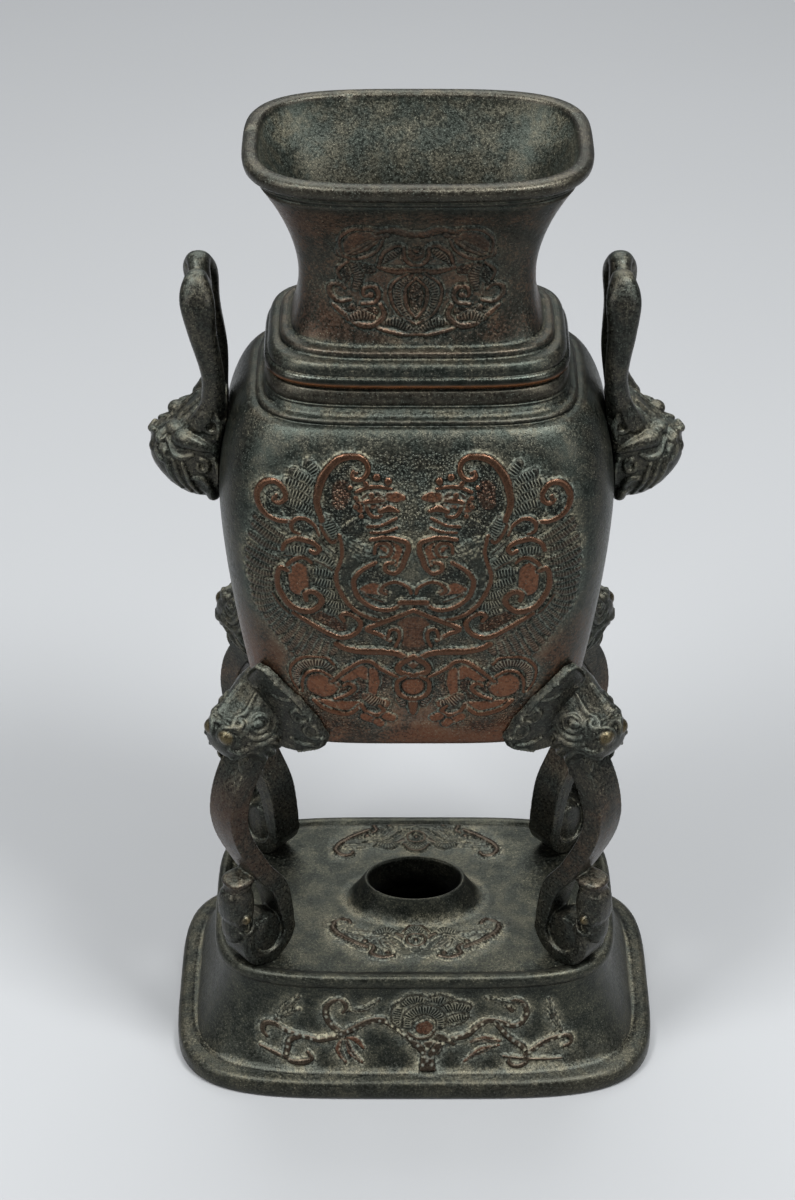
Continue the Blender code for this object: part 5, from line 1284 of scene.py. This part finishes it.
def headTrim(side):
    # folds, ringed nostril, eye and beard on one side of the head
    facing, sideways, up = legAxes()
    grids = [ropeGrid(onFlank(points, side) if face == "flank" else onCrown(points, side), radii)
             for face, radii, points in headRopes]
    grids.append(ballGrid(legPlace(23.4, side * 3.6, 144.2), (2.7, 2.7, 2.7)))
    gaze = facing * 0.75 + sideways * side * 0.66
    across = np.cross(gaze, up)
    centre = legPlace(23.2, side * 4.0, 144.0)
    ring = [centre - gaze * 0.2 + (up * math.sin(t) + across * math.cos(t)) * 3.3
            for t in np.radians(np.arange(-60, 250, 24))]
    grids.append(ropeGrid(ring, (0.5, 0.9, 0.9, 0.6)))
    eye = onFlank([(14.3, 147.4)], side, -0.3)[0]
    grids.append(ballGrid(eye, (2.6, 1.3, 1.5), legAxes()))
    grids.append(ballGrid(eye + sideways * side * 1.0, (0.8, 0.6, 0.8), legAxes()))
    for start in (0.0, 1.5, 3.0, 4.5):
        hair = np.array([20.6 - start, 19.8 - start * 0.9, 17.6 - start * 0.7])
        across, z = side * np.array([5.3, 5.4, 5.2]), np.array([133.4, 129.8, 125.6])
        grids.append(ropeGrid(legPlace(hair, across, z), (0.3, 0.6, 0.2)))
    return grids


def footTrim(side):
    # the bead and the thin scroll round it on one side of the foot
    ring = spiral((19.9, 67.6), 3.1, 1.1, -0.6, 0.75)
    return [ballGrid(legPlace(20.0, side * 4.9, 67.4), (1.9, 1.9, 1.9)),
            ropeGrid(legPlace(ring[:, 0], side * 4.3, ring[:, 1]), (1.0, 0.9, 0.5))]


def footGrids():
    # the web that fills the scroll, and the blunt knob that stands on the foot
    s = legSizes
    web = bandGrid(np.array([(s["scrollOut"], s["footZ"] + 2.6 + k * 1.6) for k in range(11)]),
                   np.array([(4.6, 8.2 * math.sqrt(max(1 - (k / 5 - 1) ** 2, 0.02))) for k in range(11)]),
                   roundedSection(((-1, -1), (1, -1), (1, 1), (-1, 1)), 2))
    base = s["footZ"] + 20.0
    knob = [ballGrid(legPlace(20.6 - rise * 0.12, 0.0, base + rise), radii, legAxes(), blunt=blunt)
            for rise, radii, blunt in ((-1.0, (4.0, 4.2, 7.0), 0.8), (7.6, (5.4, 5.0, 7.6), 0.62),
                                       (14.8, (4.6, 4.4, 2.4), 0.8), (17.2, (5.2, 4.9, 1.7), 0.75))]
    folds = [ropeGrid(legPlace(np.array([22.0, 19.4, 16.8, 15.6]), side * np.array([4.4, 4.7, 4.4, 3.4]),
                               np.array([62.0, 60.4, 61.4, 64.4])), (0.5, 0.9, 0.8, 0.4)) for side in (-1, 1)]
    return [web] + knob + folds


def legGrids():
    s = legSizes
    shares = np.concatenate([np.linspace(0, 1, 60), [1.012, 1.022, 1.03]])
    head = beastLoft(headSize, s["headBack"], s["headNose"], s["headHalf"], shares, 0.8, legPlace)
    return (bandGrids() + [head] + headTrim(-1) + footTrim(-1) + headTrim(1) + footTrim(1) + footGrids()
            + [mantleGrid()])


def mirrored(mesh, name, flip):
    copy = mesh.copy()
    copy.name = name
    bm = bmesh.new()
    bm.from_mesh(copy)
    bmesh.ops.scale(bm, vec=flip, verts=bm.verts)
    if flip[0] * flip[1] < 0:
        bmesh.ops.reverse_faces(bm, faces=bm.faces)
    bm.to_mesh(copy)
    bm.free()
    return copy


rubbedSpots = [(legPlace(24.6, side * 4.2, 144.4), 2.8) for side in (-1, 1)]
rubbedSpots += [(legPlace(20.0, side * 5.6, 67.4), 2.0) for side in (-1, 1)]
legMesh = castTogether("legCast", legGrids(), legSizes["voxel"], (7, 40), legSizes["keptTriangles"],
                       rubbedSpots)
for node, flip in (("leg_back_right", (1, 1, 1)), ("leg_back_left", (-1, 1, 1)),
                   ("leg_front_right", (1, -1, 1)), ("leg_front_left", (-1, -1, 1))):
    finishPiece(node.replace("_", "") + "Bronze", mirrored(legMesh, node, flip), limbBronze, node)
print("legs done")

# handles: an upright ring growing out of a beast mask

handleSizes = {  # mm, as the handle stands on the right
    "maskBack": 57.4, "maskNose": 81.0, "maskHalf": 12.2, "voxel": 0.38, "keptTriangles": 60000,
    "footZ": 243.0, "topZ": 289.0, "dip": 5.0, "thick": 6.4, "lean": {"right": -2.4, "left": 2.4},
}
maskProfile = (  # share of the way out, top, underside, width share
    (0.0, 246.0, 210.5, 0.86), (0.15, 246.0, 209.8, 0.96), (0.28, 245.5, 209.8, 1.0),
    (0.4, 243.5, 210.2, 1.0), (0.52, 240.5, 211.2, 0.99), (0.64, 237.4, 213.0, 0.94),
    (0.76, 235.0, 215.4, 0.86), (0.88, 234.0, 218.6, 0.72), (0.96, 232.6, 221.0, 0.54),
    (1.0, 230.5, 223.0, 0.4))
maskRopes = (  # on the flank as distance out and height, on the top as distance out and across
    ("flank", (2.9, 2.9, 2.0, 1.0), ((71.8, 234.4), (69.4, 234.4), (65.4, 233.2), (61.2, 231.2))),
    ("flank", (0.6, 0.9, 0.6), ((75.5, 232.6), (73.8, 229.4), (70.6, 228.6), (67.8, 230.0))),
    ("flank", (0.9, 1.2, 1.0, 0.7), ((76.6, 229.8), (74.8, 223.0), (71.6, 216.6))),
    ("flank", (0.8, 1.1, 0.9, 0.6), ((74.0, 228.0), (72.0, 221.4), (68.8, 215.0))),
    ("flank", (0.8, 1.1, 0.9, 0.6), ((71.0, 226.8), (69.2, 220.4), (66.2, 213.8))),
    ("flank", (0.8, 1.0, 0.6), ((65.4, 228.6), (63.4, 226.8), (64.2, 224.4), (66.4, 224.8),
        (66.4, 226.8))),
    ("flank", (0.9, 1.2, 0.9), ((67.6, 221.6), (65.0, 221.0), (63.6, 218.4), (65.0, 216.4))),
    ("flank", (0.8, 1.1, 0.6), ((61.4, 228.4), (60.4, 224.0), (60.8, 219.0))),
    ("flank", (1.6, 1.9, 1.3), ((63.4, 216.6), (62.6, 212.8), (62.0, 209.9))),
    ("flank", (0.7, 0.9, 0.7), ((77.6, 232.4), (79.2, 229.4), (77.4, 226.6), (75.6, 227.8))),
    ("top", (0.5, 0.9, 0.5), ((66.5, 2.4), (71.5, 2.6), (76.5, 1.8))),
    ("top", (0.5, 0.9, 0.5), ((66.5, 5.2), (71.0, 5.6), (75.4, 4.8))),
    ("top", (0.5, 0.9, 0.5), ((65.0, 8.2), (69.2, 8.6), (72.8, 8.0))),
    ("top", (0.6, 1.1, 0.8), ((76.5, 3.4), (78.6, 5.0), (77.4, 7.0), (75.6, 6.0))),
)


def maskSize(x):
    return profileAt(maskProfile, handleSizes["maskBack"], handleSizes["maskNose"], x)


def onMask(points, side, face):
    # points laid on the flank or the top of the mask
    laid = []
    for x, second in points:
        top, bottom, wide = maskSize(x)
        middle, reach, half = (top + bottom) / 2, (top - bottom) / 2, handleSizes["maskHalf"] * wide
        if face == "flank":
            share = min(abs((second - middle) / reach), 0.97)
            laid.append((x, side * half * (1 - share**2.35) ** 0.425, second))
        else:
            share = min(abs(second / half), 0.97)
            laid.append((x, side * second, middle + reach * (1 - share**2.35) ** 0.425))
    return np.array(laid)


def loopGrid(lean):
    # half of the loop as distance across, height, distance out and width, then mirrored
    s = handleSizes
    foot, top = s["footZ"], s["topZ"]
    rise = top - foot
    half = ((-1.5, foot - 3.0, 61.5, 8.2), (-7.4, foot, 61.5, 8.0), (-9.6, foot + rise * 0.28, 60.2, 7.0),
            (-10.2, foot + rise * 0.6, 62.0, 8.6), (-10.0, foot + rise * 0.8, 62.6, 10.4),
            (-8.0, foot + rise * 0.9, 62.7, 9.6), (-5.2, top - 2.6, 62.6, 7.0),
            (0.0, top - 3.0 - s["dip"], 62.0, 6.6))
    line = smoothLine(half, 8)
    line[:, 2] += lean * (line[:, 1] - s["footZ"]) / rise
    line = np.concatenate([line, line[-2::-1] * np.array([-1, 1, 1, 1])])
    step = np.roll(line[:, :2], -1, 0) - np.roll(line[:, :2], 1, 0)
    step /= np.maximum(np.linalg.norm(step, axis=1, keepdims=True), 1e-9)
    angles = np.linspace(0, 2 * np.pi, 33)
    rows = []
    for here, along in zip(line, step):
        reach = s["thick"] / 2 * power(np.cos(angles), 0.95)
        swell = here[3] / 2 * power(np.sin(angles), 0.92)
        rows.append(np.stack([here[2] + swell, here[0] - along[1] * reach, here[1] + along[0] * reach], 1))
    rows.append(rows[0])
    return np.array(rows)


def maskTrim(side):
    # folds, nostril, cheek and brow on one side of the mask, and the pierced scrolls behind the arm
    grids = [ropeGrid(onMask(points, side, face), radii) for face, radii, points in maskRopes]
    for out, across, z, radii in ((79.0, 3.6, 228.2, (2.8, 3.0, 2.8)), (76.8, 7.4, 229.6, (2.2, 1.8, 2.2)),
                                  (73.4, 5.6, 236.0, (3.0, 3.0, 2.4))):
        grids.append(ballGrid((out, side * across, z), radii))
    ring = [(61.9 + 2.1 * math.cos(t), 11.0, 239.6 + 2.3 * math.sin(t))
            for t in np.radians(np.arange(0, 380, 30))]
    for points, radii in ((((66.0, 8.6, 238.6), (63.2, 8.8, 242.6), (61.6, 9.0, 248.0)), (3.4, 3.6, 2.6)),
                          (ring, (0.9, 0.9)),
                          (((60.4, 11.2, 243.4), (59.6, 11.4, 239.4), (60.4, 11.2, 235.0)), (0.6, 1.1, 0.6))):
        grids.append(ropeGrid(np.array(points) * (1, side, 1), radii))
    return grids


def handleGrids(lean):
    s = handleSizes
    shares = np.concatenate([np.linspace(0, 1, 56), [1.01, 1.02, 1.026]])
    mask = beastLoft(maskSize, s["maskBack"], s["maskNose"], s["maskHalf"], shares, 0.85,
                     lambda x, y, z: np.stack([x, y, z], 2))
    noseBridge = ropeGrid(((80.0, -2.4, 233.2), (81.0, 0.0, 232.2), (80.0, 2.4, 233.2)), (0.9, 1.3, 0.9))
    return [loopGrid(lean), mask] + maskTrim(-1) + maskTrim(1) + [noseBridge]


def cutFromBody(mesh):
    # trims what reaches into the body wall, leaving the seam's gap
    count = len(mesh.vertices)
    points = np.empty(count * 3)
    mesh.vertices.foreach_get("co", points)
    points = points.reshape(-1, 3) / mm
    x, y, z = np.abs(points[:, 0]), np.abs(points[:, 1]), points[:, 2]
    square = vesselSizes["bodySquare"]
    half = bodyHalf(z) + vesselSizes["seam"]
    depth = half - depthLess(z)
    wall = half * np.clip(1 - (y / depth) ** square, 0.0, 1) ** (1 / square)
    onBody = z < vesselSizes["shoulder"] + 2.5
    points[:, 0] = np.sign(points[:, 0]) * np.where(onBody, np.maximum(x, wall), x)
    mesh.vertices.foreach_set("co", (points * mm).ravel())
    mesh.update()


for side, flip in (("right", (1, 1, 1)), ("left", (-1, 1, 1))):
    mesh = castTogether("handleCast", handleGrids(handleSizes["lean"][side]), handleSizes["voxel"], (7, 40),
                        handleSizes["keptTriangles"])
    cutFromBody(mesh)
    finishPiece("handle" + side.title() + "Bronze", mirrored(mesh, "handle" + side, flip), limbBronze,
                "handle_" + side)
print("handles done")

# studio: pale sweep, five soft boxes and a soft sky

studio = {
    "floor": "#9b9d9f", "floorCloud": "#a0a2a4", "sky": "#dfe2e6", "skyStrength": 0.34,
    "lamps": (  # where in metres, side and watts
        ((-0.5, -0.42, 1.25), 0.34, 12.0), ((0.44, -0.4, 1.28), 0.3, 15.0), ((0.0, 0.7, 1.3), 1.0, 13.0),
        ((-1.2, -0.9, 0.7), 0.6, 6.5), ((1.2, -0.9, 0.7), 0.6, 5.5)),
    "cameraTarget": (-0.0058, 0.0, 0.1678), "cameraDistance": 0.924, "cameraPitch": 35.0, "lens": 87.0,
    "lampTarget": (0.0, 0.0, 0.18), "sweepHalf": 2.5,
}


def makeStudio():
    scene = bpy.context.scene
    bm = bmesh.new()
    bmesh.ops.create_grid(bm, x_segments=8, y_segments=8, size=studio["sweepHalf"])
    mesh = bpy.data.meshes.new("sweep")
    bm.to_mesh(mesh)
    bm.free()
    sweep = bpy.data.objects.new("sweep", mesh)
    scene.collection.objects.link(sweep)
    paper = bpy.data.materials.new("mattBackdropPaper")  # even, faintly clouded matt paper
    paper.use_nodes = True
    tree = paper.node_tree
    place = addNode(tree, "TexCoord", {}, {}, "Object")
    cloud = addNode(tree, "TexNoise", {}, {"Vector": place, "Scale": 3.0, "Detail": 2.0})
    tone = addNode(tree, "Mix", {"data_type": "RGBA"},
                   {0: cloud, 6: linearColour(studio["floor"]), 7: linearColour(studio["floorCloud"])}, 2)
    tree.links.new(tone, tree.nodes["Principled BSDF"].inputs["Base Color"])
    tree.nodes["Principled BSDF"].inputs["Roughness"].default_value = 0.85
    mesh.materials.append(paper)
    world = bpy.data.worlds.new("studioSky")
    world.use_nodes = True
    world.node_tree.nodes["Background"].inputs[0].default_value = linearColour(studio["sky"])
    world.node_tree.nodes["Background"].inputs[1].default_value = studio["skyStrength"]
    scene.world = world
    for number, (spot, size, watts) in enumerate(studio["lamps"]):
        lamp = bpy.data.lights.new("softBox%d" % number, "AREA")
        lamp.shape = "SQUARE"
        lamp.size = size
        lamp.energy = watts
        holder = bpy.data.objects.new("softBox%d" % number, lamp)
        holder.location = spot
        aim = Vector(studio["lampTarget"]) - Vector(spot)
        holder.rotation_euler = aim.to_track_quat("-Z", "Y").to_euler()
        scene.collection.objects.link(holder)
    camera = bpy.data.objects.new("camera", bpy.data.cameras.new("camera"))
    pitch = math.radians(studio["cameraPitch"])
    away = Vector((0, -math.cos(pitch), math.sin(pitch)))
    camera.location = Vector(studio["cameraTarget"]) + away * studio["cameraDistance"]
    camera.rotation_euler = (-away).to_track_quat("-Z", "Y").to_euler()
    camera.data.lens = studio["lens"]
    camera.data.sensor_width = 36
    scene.collection.objects.link(camera)
    scene.camera = camera
    scene.view_settings.view_transform = "Standard"


makeStudio()
